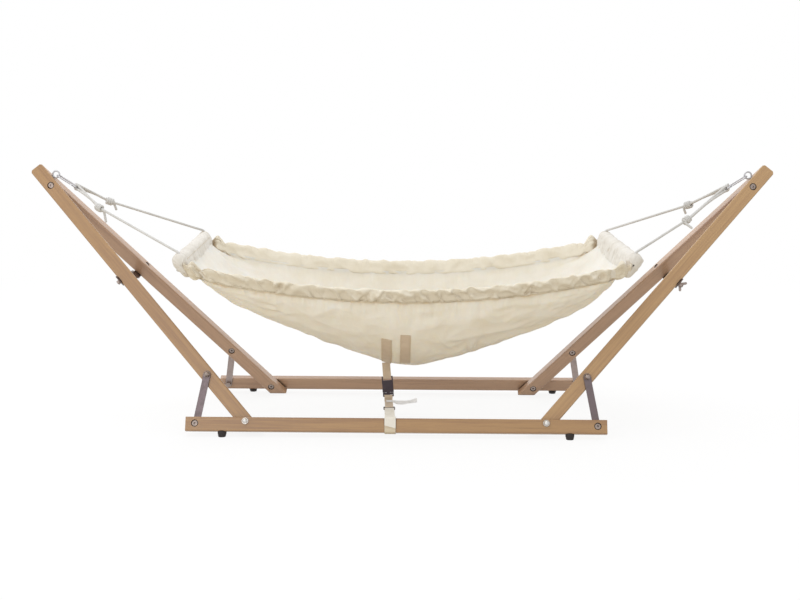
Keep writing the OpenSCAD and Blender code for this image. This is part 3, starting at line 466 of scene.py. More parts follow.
def stitchPart(line, outward, length=3.0, gap=1.4, thick=0.7, lift=0.15):
    # a row of stitches: each a short six-sided bar, swelled in the middle, lying on the line
    along = distances(line)
    starts = np.arange(0, along[-1] - length, length + gap)
    a, b = readOff(line, along, starts), readOff(line, along, starts + length)
    n = unit(readOff(outward, along, starts + length / 2))
    s = np.cross(unit(b - a), n)
    turn = np.linspace(0, 2 * math.pi, 6, endpoint=False)
    rings = []
    for f, r in ((0, 0.35), (0.25, 0.9), (0.75, 0.9), (1, 0.35)):
        centre = a + (b - a) * f + n * (lift + thick / 2 * (0.2 if r < 0.5 else 0.8))
        rings.append(centre[:, None] + thick / 2 * r * circle(turn, n, s))
    points = np.stack(rings, axis=1)                       # stitches, rings, corners
    faces, _ = gridFaces(4, 6, True)
    caps = np.array([[0, 1, 2, 3, 4, 5], [23, 22, 21, 20, 19, 18]])
    first = (np.arange(len(starts)) * 24)[:, None, None]
    quads = (faces[None] + first).reshape(-1, 4)
    ends = (caps[None] + first).reshape(-1, 6)
    return {"points": points.reshape(-1, 3), "faces": [quads, ends],
            "uv": [np.zeros((quads.size, 2)), np.zeros((ends.size, 2))]}


def sewOn(name, seams):
    # the stitches that go with a piece of the cradle
    newPiece(name + "_stitches", seams, sewing, "cradle", (), sharp=60)


# sizes shared with the frame, in millimetres
stand = {"tilt": math.radians(21), "slope": math.radians(48.9), "halfDepth": 260.35224, "baseZ": 14.42828}
cradle = {"at": 18, "height": 300, "turn": math.radians(2.5), "roll": math.radians(2),
          "lean": math.radians(-0.15), "halfLength": 533, "halfWidth": 219, "barZ": 422, "sag": 65,
          "drop": 291, "rise": 208, "lowest": 21, "curve": 1.37, "closing": 9,
          "casing": 34, "puff": 12, "slant": 16, "ropeHole": 211}
hook = {"x": 852.46225, "z": 601.68385, "dip": math.radians(32), "bow": -4.4, "end": 53.6,
        "half": 10.5, "wire": 4, "corner": 5, "nose": 9.1, "pin": 41.6}


def spin(a, b, angle):
    # two coordinates turned by an angle, from the first towards the second
    c, s = math.cos(angle), math.sin(angle)
    return a * c - b * s, a * s + b * c


def hang(p):
    # from the cradle's own level frame to where it hangs
    p = np.asarray(p, float)
    x, y = spin(p[..., 0], p[..., 1], cradle["turn"])
    y, z = spin(y, p[..., 2] - cradle["height"], cradle["roll"])
    x, z = spin(x, z, cradle["lean"])
    return xyz(x + cradle["at"], y, z + cradle["height"])


def onStandFace(p):
    # x along the front rail, y up its face, z out of its outer face
    s, c = math.sin(stand["tilt"]), math.cos(stand["tilt"])
    p = np.asarray(p, float)
    return xyz(p[..., 0], -stand["halfDepth"] + p[..., 1] * s - p[..., 2] * c,
               stand["baseZ"] + p[..., 1] * c + p[..., 2] * s)


def onHook(p, end):
    # x from the ring towards the cradle, y to the rear, for the right end (1) or the left (-1)
    s, c = math.sin(hook["dip"]), math.cos(hook["dip"])
    p = np.asarray(p, float)
    return xyz(end * (hook["x"] - p[..., 0] * c + p[..., 2] * s), p[..., 1],
               hook["z"] - p[..., 0] * s - p[..., 2] * c)


def carried(vector, place):
    # a direction, as one of these placings turns it
    return place(vector) - place([0, 0, 0])


def edgeHeight(t):
    # a shallow parabola, lowest half way between the bars
    return cradle["barZ"] - cradle["sag"] * (1 - t * t)


def coat(nodeName, material):
    # gives an object of the frame its material
    nodes[nodeName].data.materials.clear()
    nodes[nodeName].data.materials.append(material)


# directions along and across the front right upright, and up the front rail's face
tiltUp = np.array([0, math.sin(stand["tilt"]), math.cos(stand["tilt"])])
leg = math.cos(stand["slope"]) * np.array([1, 0, 0]) + math.sin(stand["slope"]) * tiltUp
legAcross = -math.sin(stand["slope"]) * np.array([1, 0, 0]) + math.cos(stand["slope"]) * tiltUp
honey = [(0.30, "865E3B"), (0.46, "9C754A"), (0.58, "AB8454"), (0.72, "946F43")]
# the rear frame gets a pinker, lighter copy of the ramp, its added lightness painted light for its shaded faces;
# the front right upright gets a lighter ramp
roseWithPaintedLight = [(0.30, "9C7762"), (0.46, "AF8E74"), (0.58, "BD9B7F"), (0.72, "A8886E")]
paleHoney = [(0.30, "926C48"), (0.46, "AA8458"), (0.58, "B99464"), (0.72, "A27E52")]
for depth, sy, timber in (("front", 1, honey), ("rear", -1, roseWithPaintedLight)):
    coat(f"{depth}_rail", oiledBeech(f"rail beech {depth}", (1, 0, 0), tiltUp * (1, sy, 1), timber))
    for side, sx in (("left", -1), ("right", 1)):
        stops = paleHoney if (depth, side) == ("front", "right") else timber
        coat(f"{depth}_{side}_upright",
             oiledBeech(f"upright beech {depth} {side}", leg * (sx, sy, 1), legAcross * (sx, sy, 1), stops))
paleStick = oiledBeech("sanded beech bar", (0, 1, 0), (0, 0, 1),
                       [(0.3, "B99672"), (0.5, "CBAC88"), (0.7, "D2B692")], 0.6)

linkSteel = steel("cold-rolled steel link", "786C6E", 0.42, brushed=0.1)
# the rear links get a lighter, pinker copy of the link steel: painted light, as on the rear frame
litRearLinkSteel = steel("rear link steel with painted light", "A3958F", 0.42, brushed=0.1)
# the zinc-plated heads get painted shade where they sit deep in their counterbores
zincSteel = steel("zinc-plated steel", "A2948C", 0.38, recessShadeReach=0.0012)
hookSteel = steel("galvanised steel hook", "BBBABC", 0.30, grime=0.03)
capSteel = steel("polished cap nut steel", "D6D4D0", 0.14, grime=0.04)
platePaint = steel("brown lacquered plate", "5A463C", 0.45, metallic=0.2, grime=0.1)
acetal = mouldedPlastic("black acetal", "2E1D27", 0.46, "47363F")
footRubber = mouldedPlastic("moulded rubber", "2E2827", 0.75, "4A4340")
# the thread is too thin for its twist to show, so it has the plain fine grain of the plastics
sewing = mouldedPlastic("cotton thread", "D5C9AE", 0.85, "CBBE9F")
# the darker colour each calico is given for its folds is painted shade
calico = wovenCotton("unbleached calico", "E9E6DF", "DFDACF", depth=0.00012, foldShade="C4AE88", through=0.6)
cuffCalico = wovenCotton("folded calico", "E3DFD8", "D7D1C6", depth=0.00012, foldShade="B8A384")
calicoBand = wovenCotton("gathered calico", "EAE3D3", "DCD2BC", depth=0.00015, foldShade="90744A", reach=0.015)
ropeCotton = wovenCotton("braided cotton rope", "DDDCDA", "C2C0BC", thread=0.0012, diagonal=0.785)
tanWeb = wovenCotton("tan cotton webbing", "DBC9B2", "CAB59C", thread=0.0016)
paleWeb = wovenCotton("natural cotton webbing", "F0ECE2", "E3DDD0", thread=0.0016)
# the rail loop, below the flap, gets a darker, tanner copy of the webbing: painted shade
shadedLoopWeb = wovenCotton("cotton webbing with painted shade", "DDD0B8", "CDBEA2", thread=0.0016)
whiteTape = wovenCotton("white label tape", "FBFCFD", "F1F3F5", thread=0.0007, depth=0.0001)
elasticWeb = wovenCotton("woven elastic", "F2EEE5", "DCD5C6", thread=0.0014)

# a * in a name stands for left and for right
finishes = {linkSteel: "front_*_link", litRearLinkSteel: "rear_*_link", capSteel: "pivot_cap_nuts",
            zincSteel: "pivot_bolts link_foot_bolts link_foot_nuts link_head_bolts link_head_cap_nuts top_bolts "
                       "top_bolt_nuts spreader_bolts spreader_lock_nuts foot_studs *_wing_nut",
            hookSteel: "*_eye_bolt *_hook_gate hook_gate_pins", platePaint: "*_spreader_plate pivot_spacers",
            acetal: "buckle_socket buckle_base buckle_*_arm strap_adjuster", footRubber: "rubber_feet",
            paleStick: "*_spreader_bar"}
for finish, names in finishes.items():
    for name in names.split():
        for side in ("left", "right") if "*" in name else ("",):
            coat(name.replace("*", side), finish)
print("timber, steel and plastic finished")

# ropes: each from its stopper under the bar to the hook and back to its sliding knot
rope = {"radius": 2.9, "bend": 5.4, "onHook": 3.4, "step": 1.0, "leaves": 19, "endEase": 0.6, "drawnIn": 0.45,
        "slidingKnot": {"radius": 7.0, "turns": 3.8, "rise": 21},
        "stopper": {"radius": 4.6, "turns": 1.9, "rise": 8},
        "corners": {"front_left_rope": {"end": -1, "side": -1, "knot": (-738, -57, 526), "tail": (6, -3, -32)},
                    "rear_left_rope": {"end": -1, "side": 1, "knot": (-740, 52, 535), "tail": (6, 4, -20)},
                    "front_right_rope": {"end": 1, "side": -1, "knot": (695, -98, 503), "tail": (18, -8, -14)},
                    "rear_right_rope": {"end": 1, "side": 1, "knot": (728, 67, 528), "tail": (8, 6, -20)}}}


def braid(along, turn):
    # eight strands that cross over each other every 5 mm
    lay = along * 2 * math.pi / 20
    return 0.22 * np.maximum(np.cos(4 * turn + 4 * lay), np.cos(4 * turn - 4 * lay)) - 0.05


def coil(centre, axis, start, radius, turns, rise):
    # a helix round an axis, its ends drawn in towards the axis
    axis = unit(np.array(axis, float))
    a = unit(np.cross(axis, (0.3, 0.9, 0.1)))
    s = np.linspace(0, 1, int(turns * 40))
    r = radius * (1 - rope["drawnIn"] * (np.maximum(0, 1 - s * 6) + np.maximum(0, s * 6 - 5)))
    return (centre + (s - 0.5)[:, None] * rise * axis
            + r[:, None] * circle(start + s * turns * 2 * math.pi, a, np.cross(axis, a)))


def cordPart(path, radius, side=(0, 1, 0)):
    # a braided tube whose radius closes softly at both ends
    s = np.linspace(0, distances(path)[-1], len(path))
    near = np.minimum(np.minimum(s, s[-1] - s) / (radius * rope["endEase"]), 1)
    radii = radius * np.sqrt(np.maximum(1 - (1 - near) ** 2, 0.02))
    return tubePart(roundTube(path, radii, side=side, relief=braid))


for nodeName, corner in rope["corners"].items():
    end, side = corner["end"], corner["side"]
    knot, tail = np.array(corner["knot"], float), np.array(corner["tail"], float)
    hole = hang([end * cradle["halfLength"], side * cradle["ropeHole"], cradle["barZ"]])
    top = hole + (0, 0, rope["leaves"])
    away = unit(knot - top)
    angles = np.radians(90 + 22.5 * np.arange(9))
    bend = onHook(xyz(hook["end"] + rope["bend"] * np.cos(angles), side * rope["onHook"],
                      -rope["bend"] * np.sin(angles)), end)
    leaving = unit(bend[0] - knot)
    out = top + away * 6
    run = [hole + (0, 0, z) for z in (-23, -16, -11, 0, 9, 14)]
    run += [out, out + away * 30, knot - away * 40, knot - away * 12, knot + leaving * 12] + list(bend)
    slack = (bend[8] + knot) / 2 + (0, 0, 5)
    aside = unit(np.cross(away, (0, 0, 1)))
    run += [bend[8] * 0.75 + slack * 0.25 + (0, 0, 2), slack, knot + leaving * 14 + aside * 3.0,
            knot + aside * 3.2, knot - away * 9 + aside * 3.0]
    run += [knot - away * 12 + aside * 4 + tail * share for share in (0.3, 0.7, 1)]
    parts = [cordPart(smoothPath(run, rope["step"]), rope["radius"])]
    for centre, axis, shape in ((knot, away, rope["slidingKnot"]),
                                (hole - (0, 0, rope["leaves"]), (0.1, 0.2, 1), rope["stopper"])):
        loop = coil(centre, axis, 0.7 * end + side, **shape)
        parts.append(cordPart(smoothPath(loop[::4], rope["step"]), rope["radius"] * 0.97, axis))
    newPiece(nodeName + "_braid", parts, ropeCotton, "cradle", [nodeName])
print("ropes laid")

# snap hooks: round wire bent to shape, with two round ears at the gate, each drawn out to meet the wire
ear = {"radius": 2.4, "neck": 3.0, "halfHeight": 2.3, "starts": (1.3, -2.3),
       "rounding": ((0, 0.92), (0.12, 1), (0.88, 1), (1, 0.92)), "pastPin": 3.2}
for end, nodeName in ((1, "right_hook"), (-1, "left_hook")):
    h, c = hook["half"], hook["corner"]
    bow, quarter = np.radians(np.linspace(270, 90, 25)), np.radians(np.linspace(90, 0, 9))
    corner = hook["end"] - c + c * np.cos(quarter)
    flat = np.concatenate([
        [[hook["nose"], -h]],
        np.stack([hook["bow"] + h + h * np.cos(bow), h * np.sin(bow)], axis=1),
        np.stack([corner, h - c + c * np.sin(quarter)], axis=1),
        np.stack([corner[::-1], c - h - c * np.sin(quarter[::-1])], axis=1),
        [[hook["pin"] + ear["pastPin"], -h]]])
    wire = smoothPath(onHook(xyz(flat[:, 0], flat[:, 1], 0), end), 1.2)
    across = carried([0, 0, 1], lambda p: onHook(p, end))
    parts = [tubePart(roundTube(wire, hook["wire"] / 2, 24, across))]
    turn = np.linspace(0, 2 * math.pi, 28, endpoint=False)
    reach = ear["radius"] + ear["neck"] * np.maximum(np.cos(turn), 0) ** 2
    for z in ear["starts"]:
        disc = [xyz(hook["pin"] + reach * k * np.cos(turn), -h + ear["halfHeight"] * k * np.sin(turn), z + w)
                for w, k in ear["rounding"]]
        parts.append(tubePart(onHook(np.stack(disc), end)))
    newPiece(nodeName + "_wire", parts, hookSteel, "cradle", [nodeName])
print("hooks bent")

# the sling. Its creases have a range along x and along its arc, a count and a seed, then ranges of length,
# width and height, and the spread and the mean of their angle in radians
sling = {"along": 398, "across": 122, "thickness": 1.6, "fold": 9, "gatherNear": 2.2, "gatherFar": 3.6,
         "slopeFrom": 415, "slopeRise": 33, "halfArc": 300, "edgeRise": 9,
         "strapPull": 5, "pullAt": -45, "pullSpread": 50,
         "creases": [(((-500, 500), (-285, 285)), 90, 11, (30, 90), (8, 18), (1.0, 3.0), 0.40),
                     (((-500, 500), (-290, 290)), 120, 15, (16, 46), (5, 10), (1.0, 2.6), 0.5, 0.55),
                     (((-160, 240), (-240, -90)), 20, 12, (20, 55), (5, 9), (1.6, 4.0), 0.5, 0.8),
                     (((-520, -300), (-200, 200)), 14, 13, (60, 150), (7, 16), (2.0, 4.6), 0.15),
                     (((300, 520), (-200, 200)), 14, 14, (60, 150), (7, 16), (2.0, 4.6), 0.15)]}
t = np.linspace(-1, 1, sling["along"])[:, None]
v = np.linspace(-1, 1, sling["across"])[None, :]
slingEnd = cradle["halfLength"] - cradle["slant"]


def slingBase(t, v):
    # half an oval across, its depth following the belly's curve, closed softly at both ends
    along = t * slingEnd / cradle["halfLength"]
    close = np.sqrt(np.maximum(0, 1 - np.abs(t) ** cradle["closing"]))
    top = edgeHeight(along) - cradle["casing"] - 0.5
    fromLowest = np.abs(along - cradle["lowest"] / cradle["halfLength"])
    belly = cradle["barZ"] - cradle["drop"] + cradle["rise"] * fromLowest ** cradle["curve"]
    foldShade = sling["fold"] * np.abs(t) ** 2.2 * close * np.cos(math.pi / 2 * v) * np.cos(4 * math.pi * v)
    depth = (top - belly + foldShade) * close
    return xyz(t * slingEnd, (cradle["halfWidth"] + foldShade - cradle["puff"] / 4) * np.sin(math.pi / 2 * v),
               top - depth * np.cos(math.pi / 2 * v))


base = slingBase(t, v)
# its ends rise to the rolled cuffs in a soft slope; its edges run up inside the gathered casings
climb = np.clip((np.abs(base[..., 0]) - sling["slopeFrom"]) / (slingEnd - sling["slopeFrom"]), 0, 1) ** 1.8
base[..., 2] += sling["slopeRise"] * climb * (1 - np.abs(v) ** 8)
base[..., 0] += np.sign(base[..., 0]) * 3 * climb ** 4
base[..., 2] += sling["edgeRise"] * np.clip((np.abs(v) - 0.955) / 0.045, 0, 1) ** 2
# the strap draws the belly down a little
base[..., 2] -= (sling["strapPull"] * bell(base[..., 0], sling["pullAt"], sling["pullSpread"])
                 * np.cos(math.pi / 2 * v) ** 2)
x = base[..., 0]
arc = v * sling["halfArc"]
below = sling["halfArc"] - np.abs(arc)             # rough distance down from the gathered edge
front = v < 0
fade = np.clip((1 - np.abs(t)) * 14, 0, 1) * np.clip(1 - np.abs(v) ** 40, 0, 1)
gather = sling["gatherNear"] * np.where(front, ripple(x, 21, 3), 0.4 * ripple(x, 21, 4)) * np.exp(-below / 24)
drape = np.where(front, ripple(x + 0.25 * below, 58, 5), 0.5 * ripple(x - 0.2 * below, 58, 6))
drape = sling["gatherFar"] * drape * np.exp(-below / 60) * below / (below + 12)
rumple = sum(creases(x, arc, *laid) for laid in sling["creases"])
rumple += 2.6 * crumple(x, arc, 95, 1.9, 21) * (0.6 + 0.4 * ripple(x + arc, 240, 22))
rumple += 1.2 * crumple(x, arc, 42, 1.6, 23) * (0.5 + 0.5 * ripple(x - arc, 170, 24))
# taut where the strap is sewn, and along the belly; the rear half lies smoother
calm = 1 - 0.85 * rising((60 - np.abs(x + 27)) / 9) * rising((0.40 - np.abs(v + 0.38)) / 0.05)
rumple *= calm * (1 - 0.6 * bell(v, -0.03, 0.16)) * (1 - 0.65 * rising((v + 0.02) * 30))
outer = normals(base)
outer *= -np.sign(outer[sling["along"] // 2, sling["across"] // 2, 2])
skin = base + outer * ((gather + drape + rumple) * fade)[..., None]
slingPiece = newPiece("sling_cloth", [sheetPart(hang(skin), -sling["thickness"])], calico, "cradle", ["sling"])


def onSling(ts, vs, lift):
    # points on the creased cloth itself, raised off it by lift
    i = (ts + 1) / 2 * (sling["along"] - 1)
    j = (vs + 1) / 2 * (sling["across"] - 1)
    i0, j0 = np.floor(i).astype(int), np.floor(j).astype(int)
    fi, fj = (i - i0)[..., None], (j - j0)[..., None]
    raised = skin + outer * lift
    return ((raised[i0, j0] * (1 - fi) + raised[i0 + 1, j0] * fi) * (1 - fj)
            + (raised[i0, j0 + 1] * (1 - fi) + raised[i0 + 1, j0 + 1] * fi) * fj)


print("sling cut")

# gathered edges: a puffed casing round a flat elastic, with slanting tucks on each face
casing = {"steps": 880, "around": 56, "wall": 1.2, "half": cradle["halfLength"] - 26, "past": 14,
          "depth": 6.2, "height": 16.6, "fine": 25, "broad": 62, "facet": 47, "lean": 10, "leanOver": 33,
          "seamAt": 0.875, "seamFrom": 20, "outerTucks": (120, (14, 36), (3.4, 7.5), (2.6, 6.0)),
          "innerTucks": (80, (14, 36), (4.5, 9.5), (1.0, 2.8))}
elastic = {"width": 20, "thickness": 1.5, "steps": 420, "short": 3}


def tuckedIn(x, high, seed, count, *ranges):
    # slanting creases over the middle of a face
    return creases(x, high, ((-510, 510), (-14, 9)), count, seed, *ranges, 0.35, 0.75)


for side, depth in ((-1, "front"), (1, "rear")):
    x = np.linspace(-1, 1, casing["steps"])[:, None] * (casing["half"] + casing["past"])
    turn = np.linspace(0, 2 * math.pi, casing["around"], endpoint=False)[None, :]
    up, outw = np.sin(turn), np.cos(turn)
    high = casing["height"] * np.sign(up) * np.abs(up) ** 0.85
    # below its rolled top the outer face hangs back, hollow, and the inner face stands off the sling
    hollow = np.where(outw > 0, 0.5 + 0.65 * rising((up - 0.25) * 7), 1 + 0.45 * np.clip(-up, 0, 1))
    deep = casing["depth"] * np.sign(outw) * np.abs(outw) ** 0.8 * hollow
    seed = 20 + side
    fine = pleats(x + 3 * up, casing["fine"], seed)
    broad = pleats(x + 12 * up * outw, casing["broad"], seed + 5)
    upper, lower = np.clip(up + 0.35, 0, 1.35) / 1.35, np.clip(0.5 - up, 0, 1.5) / 1.5
    tucks = tuckedIn(x, high, seed + 50, *casing["outerTucks"])
    other = tuckedIn(x, high, seed + 60, *casing["innerTucks"])
    facets = 4.6 * crumple(x + 0.8 * high, high, casing["facet"], 1.2, seed + 70)
    tucked = np.where(outw > 0, tucks + facets, 0.35 * (other + facets)) * np.clip(np.abs(outw) * 1.6, 0, 1)
    tucked = np.maximum(tucked * (1 - 0.5 * upper ** 3), -1.6 - 2.2 * upper)
    fuller = 0.6 + 0.4 * np.tanh(2 * outw)
    puff = 0.68 + 0.42 * fine * upper ** 1.5 + (0.42 * broad * lower + 0.2 * broad * upper) * fuller
    patchy = 0.65 + 0.35 * ripple(x, 150, seed + 12)
    rise = (2.8 * patchy * (fine - 0.6) + 2.2 * ripple(x, 61, seed + 9)) * upper ** 2
    rise = rise + 0.7 * ripple(x, 37, seed + 4)
    # each end is drawn in to a neck, bulges in small gathers beside the cuff, and is drawn in again
    fromEnd = casing["half"] - np.abs(x)
    flare = bell(fromEnd, 8, 10)
    neck = bell(fromEnd, 27, 7) + 0.8 * bell(fromEnd, -8, 6)
    gathers = 0.14 * (neck + flare) * np.sin(9 * turn + 1.8 * np.sin(2 * turn + seed) + 0.06 * x)
    size = (1 - 0.42 * neck) * (1 + 0.30 * flare) * (1 + gathers)
    # the upper part leans outwards, so that most of the outer face looks down
    lean = casing["lean"] * (1 + up) / 2 * (1 - 0.6 * neck) * (0.8 + 0.4 * patchy)
    thick = (deep * puff * (1.2 + 0.4 * flare) + np.sign(outw) * tucked) * size
    middle = edgeHeight(x / cradle["halfLength"]) - cradle["casing"] / 2 + 5 * flare
    ring = hang(xyz(x, side * (cradle["halfWidth"] + lean + thick),
                    middle + high * (0.93 + 0.07 * broad) * size + rise))
    name = depth + "_edge_casing"
    piece = newPiece(name + "_cloth", [sleevePart(ring, casing["wall"])], calicoBand, "cradle", [name],
                     sharp=80)
    # two rows of stitches hold the casing to the sling, along its lower edge
    facing = wrapNormals(ring)
    k = int(casing["around"] * casing["seamAt"])
    facing *= np.sign(facing[casing["steps"] // 2, k, 1] * side)
    sewn = slice(casing["seamFrom"], -casing["seamFrom"])
    sewOn(name, [stitchPart(ring[sewn, j], facing[sewn, j]) for j in (k, k - 2)])
    # the elastic inside, lying a little crumpled and leaning with the casing
    xe = np.linspace(-1, 1, elastic["steps"]) * (casing["half"] - elastic["short"])
    band = xyz(xe, side * (cradle["halfWidth"] + casing["lean"] / 2) + 0.35 * ripple(xe, 9, 31),
               edgeHeight(xe / cradle["halfLength"]) - cradle["casing"] / 2)
    upward = carried([0, side * casing["lean"] / casing["leanOver"], 1], hang)
    newPiece(depth + "_elastic_band", [tubePart(strapTube(hang(band), upward, elastic["width"],
                                                          elastic["thickness"]))],
             elasticWeb, "cradle", [depth + "_elastic"])
print("edges gathered")

# end cuffs: cloth round each bar, drawn down to the sling's end seam
cuff = {"steps": 352, "around": 110, "wall": 1.2, "half": 227, "turnIn": 15, "turnSteps": 46, "hole": 0.09,
        "centre": (-6.0, -8.0), "seamsAt": (0.27, 0.90), "seamFrom": 58,
        "outline": [(-21, -34), (-19, -16), (-16, -1), (-11.5, 10.5), (0, 15.6), (11, 11.2), (15.2, 1), (12, -9),
                    (3.5, -20), (-7, -31), (-14, -36.5)]}
loop = np.array([(x, z, 0) for x, z in cuff["outline"] + cuff["outline"][:1]], float)
# run past its start at both ends, so that the curve closes smoothly, then cut to one round
curve = smoothPath(np.concatenate([loop[-3:-1], loop, loop[1:3]]), 0.5)
around = distances(curve)
gap = np.linalg.norm(curve - loop[0], axis=1)
half = len(curve) // 2
first, last = np.argmin(gap[:half]), half + np.argmin(gap[half:])
profile = readOff(curve, around, np.linspace(around[first], around[last], cuff["around"], endpoint=False))
for end, nodeName in ((1, "right_end_cuff"), (-1, "left_end_cuff")):
    # the last rings turn in over the bar's end and pucker towards a small hole
    flat = cuff["half"] - cuff["turnIn"]
    bend = np.linspace(0, 1, cuff["turnSteps"])[1:] ** 0.8 * math.pi / 2
    over = flat + cuff["turnIn"] * np.sin(bend)
    inward = np.concatenate([np.cos(bend[::-1]), np.ones(cuff["steps"]), np.cos(bend)])
    inward = np.maximum(inward, cuff["hole"])[:, None]
    y = np.concatenate([-over[::-1], np.linspace(-flat, flat, cuff["steps"]), over])[:, None]
    pz = profile[None, :, 1]
    dx, dz = profile[None, :, 0] - cuff["centre"][0], pz - cuff["centre"][1]
    size, angle = np.sqrt(dx * dx + dz * dz), np.arctan2(dz, dx)
    nearEnd = np.clip((np.abs(y) - 150) / 60, 0, 1)
    rumpled = (1.2 * ripple(y, 12, 41 + end) * np.clip(-pz / 36, 0, 1) + 0.9 * ripple(y + 0.6 * pz, 31, 44 + end)
               + 1.5 * nearEnd * ripple(y - 0.8 * pz, 17, 47 + end)
               + creases(y, pz, ((-205, 205), (-30, 16)), 44, 50 + end, (12, 45), (3, 6), (0.7, 2.0),
                         0.6, 0.5))
    pucker = 0.10 * (1 - inward ** 2) * np.sin(11 * angle + 2 * np.sin(3 * angle + end))
    swell = inward * (1 + (rumpled * inward + 1.5 * nearEnd ** 2) / size * 0.9 + pucker)
    ring = hang(xyz(end * (cradle["halfLength"] + cuff["centre"][0] + dx * swell), y,
                    cradle["barZ"] + cuff["centre"][1] + dz * swell))
    piece = newPiece(nodeName + "_cloth", [sleevePart(ring, cuff["wall"])], cuffCalico, "cradle", [nodeName],
                     sharp=80)
    facing = wrapNormals(ring)
    seams, sewn = [], slice(cuff["seamFrom"], -cuff["seamFrom"])
    for k in (int(cuff["around"] * share) for share in cuff["seamsAt"]):
        n = facing[:, k]
        n = n * np.sign(((ring[:, k] - ring.mean(axis=1)) * n).sum(axis=1))[:, None]
        seams.append(stitchPart(ring[sewn, k], n[sewn]))
    sewOn(nodeName, seams)
print("cuffs sewn")

# two strips of webbing sewn under the belly, with stitches along all four sides
patch = {"at": (-49.2, -3.8), "from": (-0.655, -0.72), "to": (-0.10, -0.31), "width": 23.5, "thickness": 1.4,
         "lift": 1.8}
parts, seams = [], []
for k, px in enumerate(patch["at"]):
    ts = (px + np.linspace(-1, 1, 24) * patch["width"] / 2) / slingEnd
    vs = np.linspace(patch["from"][k], patch["to"][k], 90)
    grid = onSling(ts[:, None], vs[None, :], patch["lift"])
    wavy = 0.25 * ripple(vs * sling["halfArc"], 19, 61 + k)
    placed = hang(grid + wavy[None, :, None] * np.array([0, -0.5, -0.85]))
    parts.append(sheetPart(placed, -patch["thickness"]))
    n = normals(placed)
    n = n * np.sign(n[12, 45] @ np.array([0, -0.5, -0.8]))
    inner = slice(2, -2)
    for line in ((2, inner), (-3, inner), (inner, 2), (inner, -3)):
        seams.append(stitchPart(placed[line], n[line], length=2.4, gap=1.2, thick=0.6))
newPiece("belly_webbing_weave", parts, tanWeb, "cradle", ["belly_webbing"])
sewOn("belly_webbing", seams)

# strap: from the belly to the buckle, then slack to the adjuster and round the rail
buckle = {"at": np.array([-24, -58, 56.0]), "turn": math.radians(-9), "lean": math.radians(-4.5),
          "adjuster": (-18, -158, 49)}
strap = {"width": 20, "thickness": 1.4, "eye": 49.5, "step": 0.8, "tension": 0.42,
         "boxLow": 66, "boxHigh": 79, "boxHalf": 8, "boxFace": -4.05}
yaw = math.atan((buckle["adjuster"][0] - buckle["at"][0]) / (buckle["at"][1] - buckle["adjuster"][1]))


def onBuckle(p):
    # z up the strap, x across it, from the bottom of the buckle
    p = np.asarray(p, float)
    y, z = spin(p[..., 1], p[..., 2], buckle["turn"])
    z, x = spin(z, p[..., 0], buckle["lean"])
    return xyz(x, y, z) + buckle["at"]


def onStrap(p):
    # y from the buckle away from the adjuster, z up
    p = np.asarray(p, float)
    x, y = spin(p[..., 0], p[..., 1], yaw)
    return xyz(x + buckle["at"][0], y + buckle["at"][1], p[..., 2])


def strapPart(route, across, seed, wave=0.15, width=strap["width"]):
    # webbing along a smooth curve through the route's points
    path = smoothPath(route, strap["step"], strap["tension"])
    return tubePart(strapTube(path, across, width, strap["thickness"], wave, seed))


e = strap["eye"]
upperRoute = [(-3.3, 85.8), (-3.3, 76), (-3.3, 60), (-3.3, e - 2.5), (-2.4, e - 4), (0, e - 4.4), (2.4, e - 4),
              (3.3, e - 2.5), (3.3, e + 2.5), (0.5, e + 8.5), (-1.75, e + 12.5), (-1.75, e + 32)]
upper = strapPart([onBuckle([0, y, z]) for y, z in upperRoute], carried([1, 0, 0], onBuckle), 71, 0.12)
newPiece("upper_strap_weave", [upper], tanWeb, "cradle", ["upper_strap"])
# a box with a cross in it is sewn through both layers
box = [onBuckle([x, strap["boxFace"], z]) for z in (strap["boxLow"], strap["boxHigh"])
       for x in (-strap["boxHalf"], strap["boxHalf"])]
lines = []
for j, k in ((0, 1), (2, 3), (0, 2), (1, 3), (0, 3), (1, 2)):
    line = np.linspace(box[j], box[k], 30)
    facing = np.broadcast_to([0, -1, 0.15], line.shape)
    lines.append(stitchPart(line, facing, length=2.0, gap=1.0, thick=0.6, lift=0.0))
sewOn("upper_strap", lines)

wrapRoute = [(-12, -4.4), (-7.5, -2.0), (-4.4, 1.0), (-3.9, 2.8), (-2.8, 4), (2.8, 4), (3.9, 2.8), (3.9, 0.2),
             (2.8, -1), (0, -1.3), (-4.4, -2.4), (-9, -5.2), (-16.5, -8.2)]
runRoute = [(-30, 49), (-52, 48), (-75, 47.2), (-86, 46.4), (-91.8, 46.4), (-93.3, 47.8), (-93.3, 50.2),
            (-91.8, 51.6), (-82, 51.4), (-72, 50.4), (-60, 50.6)]
acrossRun = carried([1, 0, 0], onStrap)
lower = strapPart([onBuckle([0, y, z]) for y, z in wrapRoute] + [onStrap([0, y, z]) for y, z in runRoute],
                  acrossRun, 72)
newPiece("lower_strap_weave", [lower], tanWeb, None, ["lower_strap"],
         across={"from": "stand", "to": "cradle", "start": (-0.0185, -0.150, 0.049),
                 "end": (-0.0238, -0.064, 0.053)})

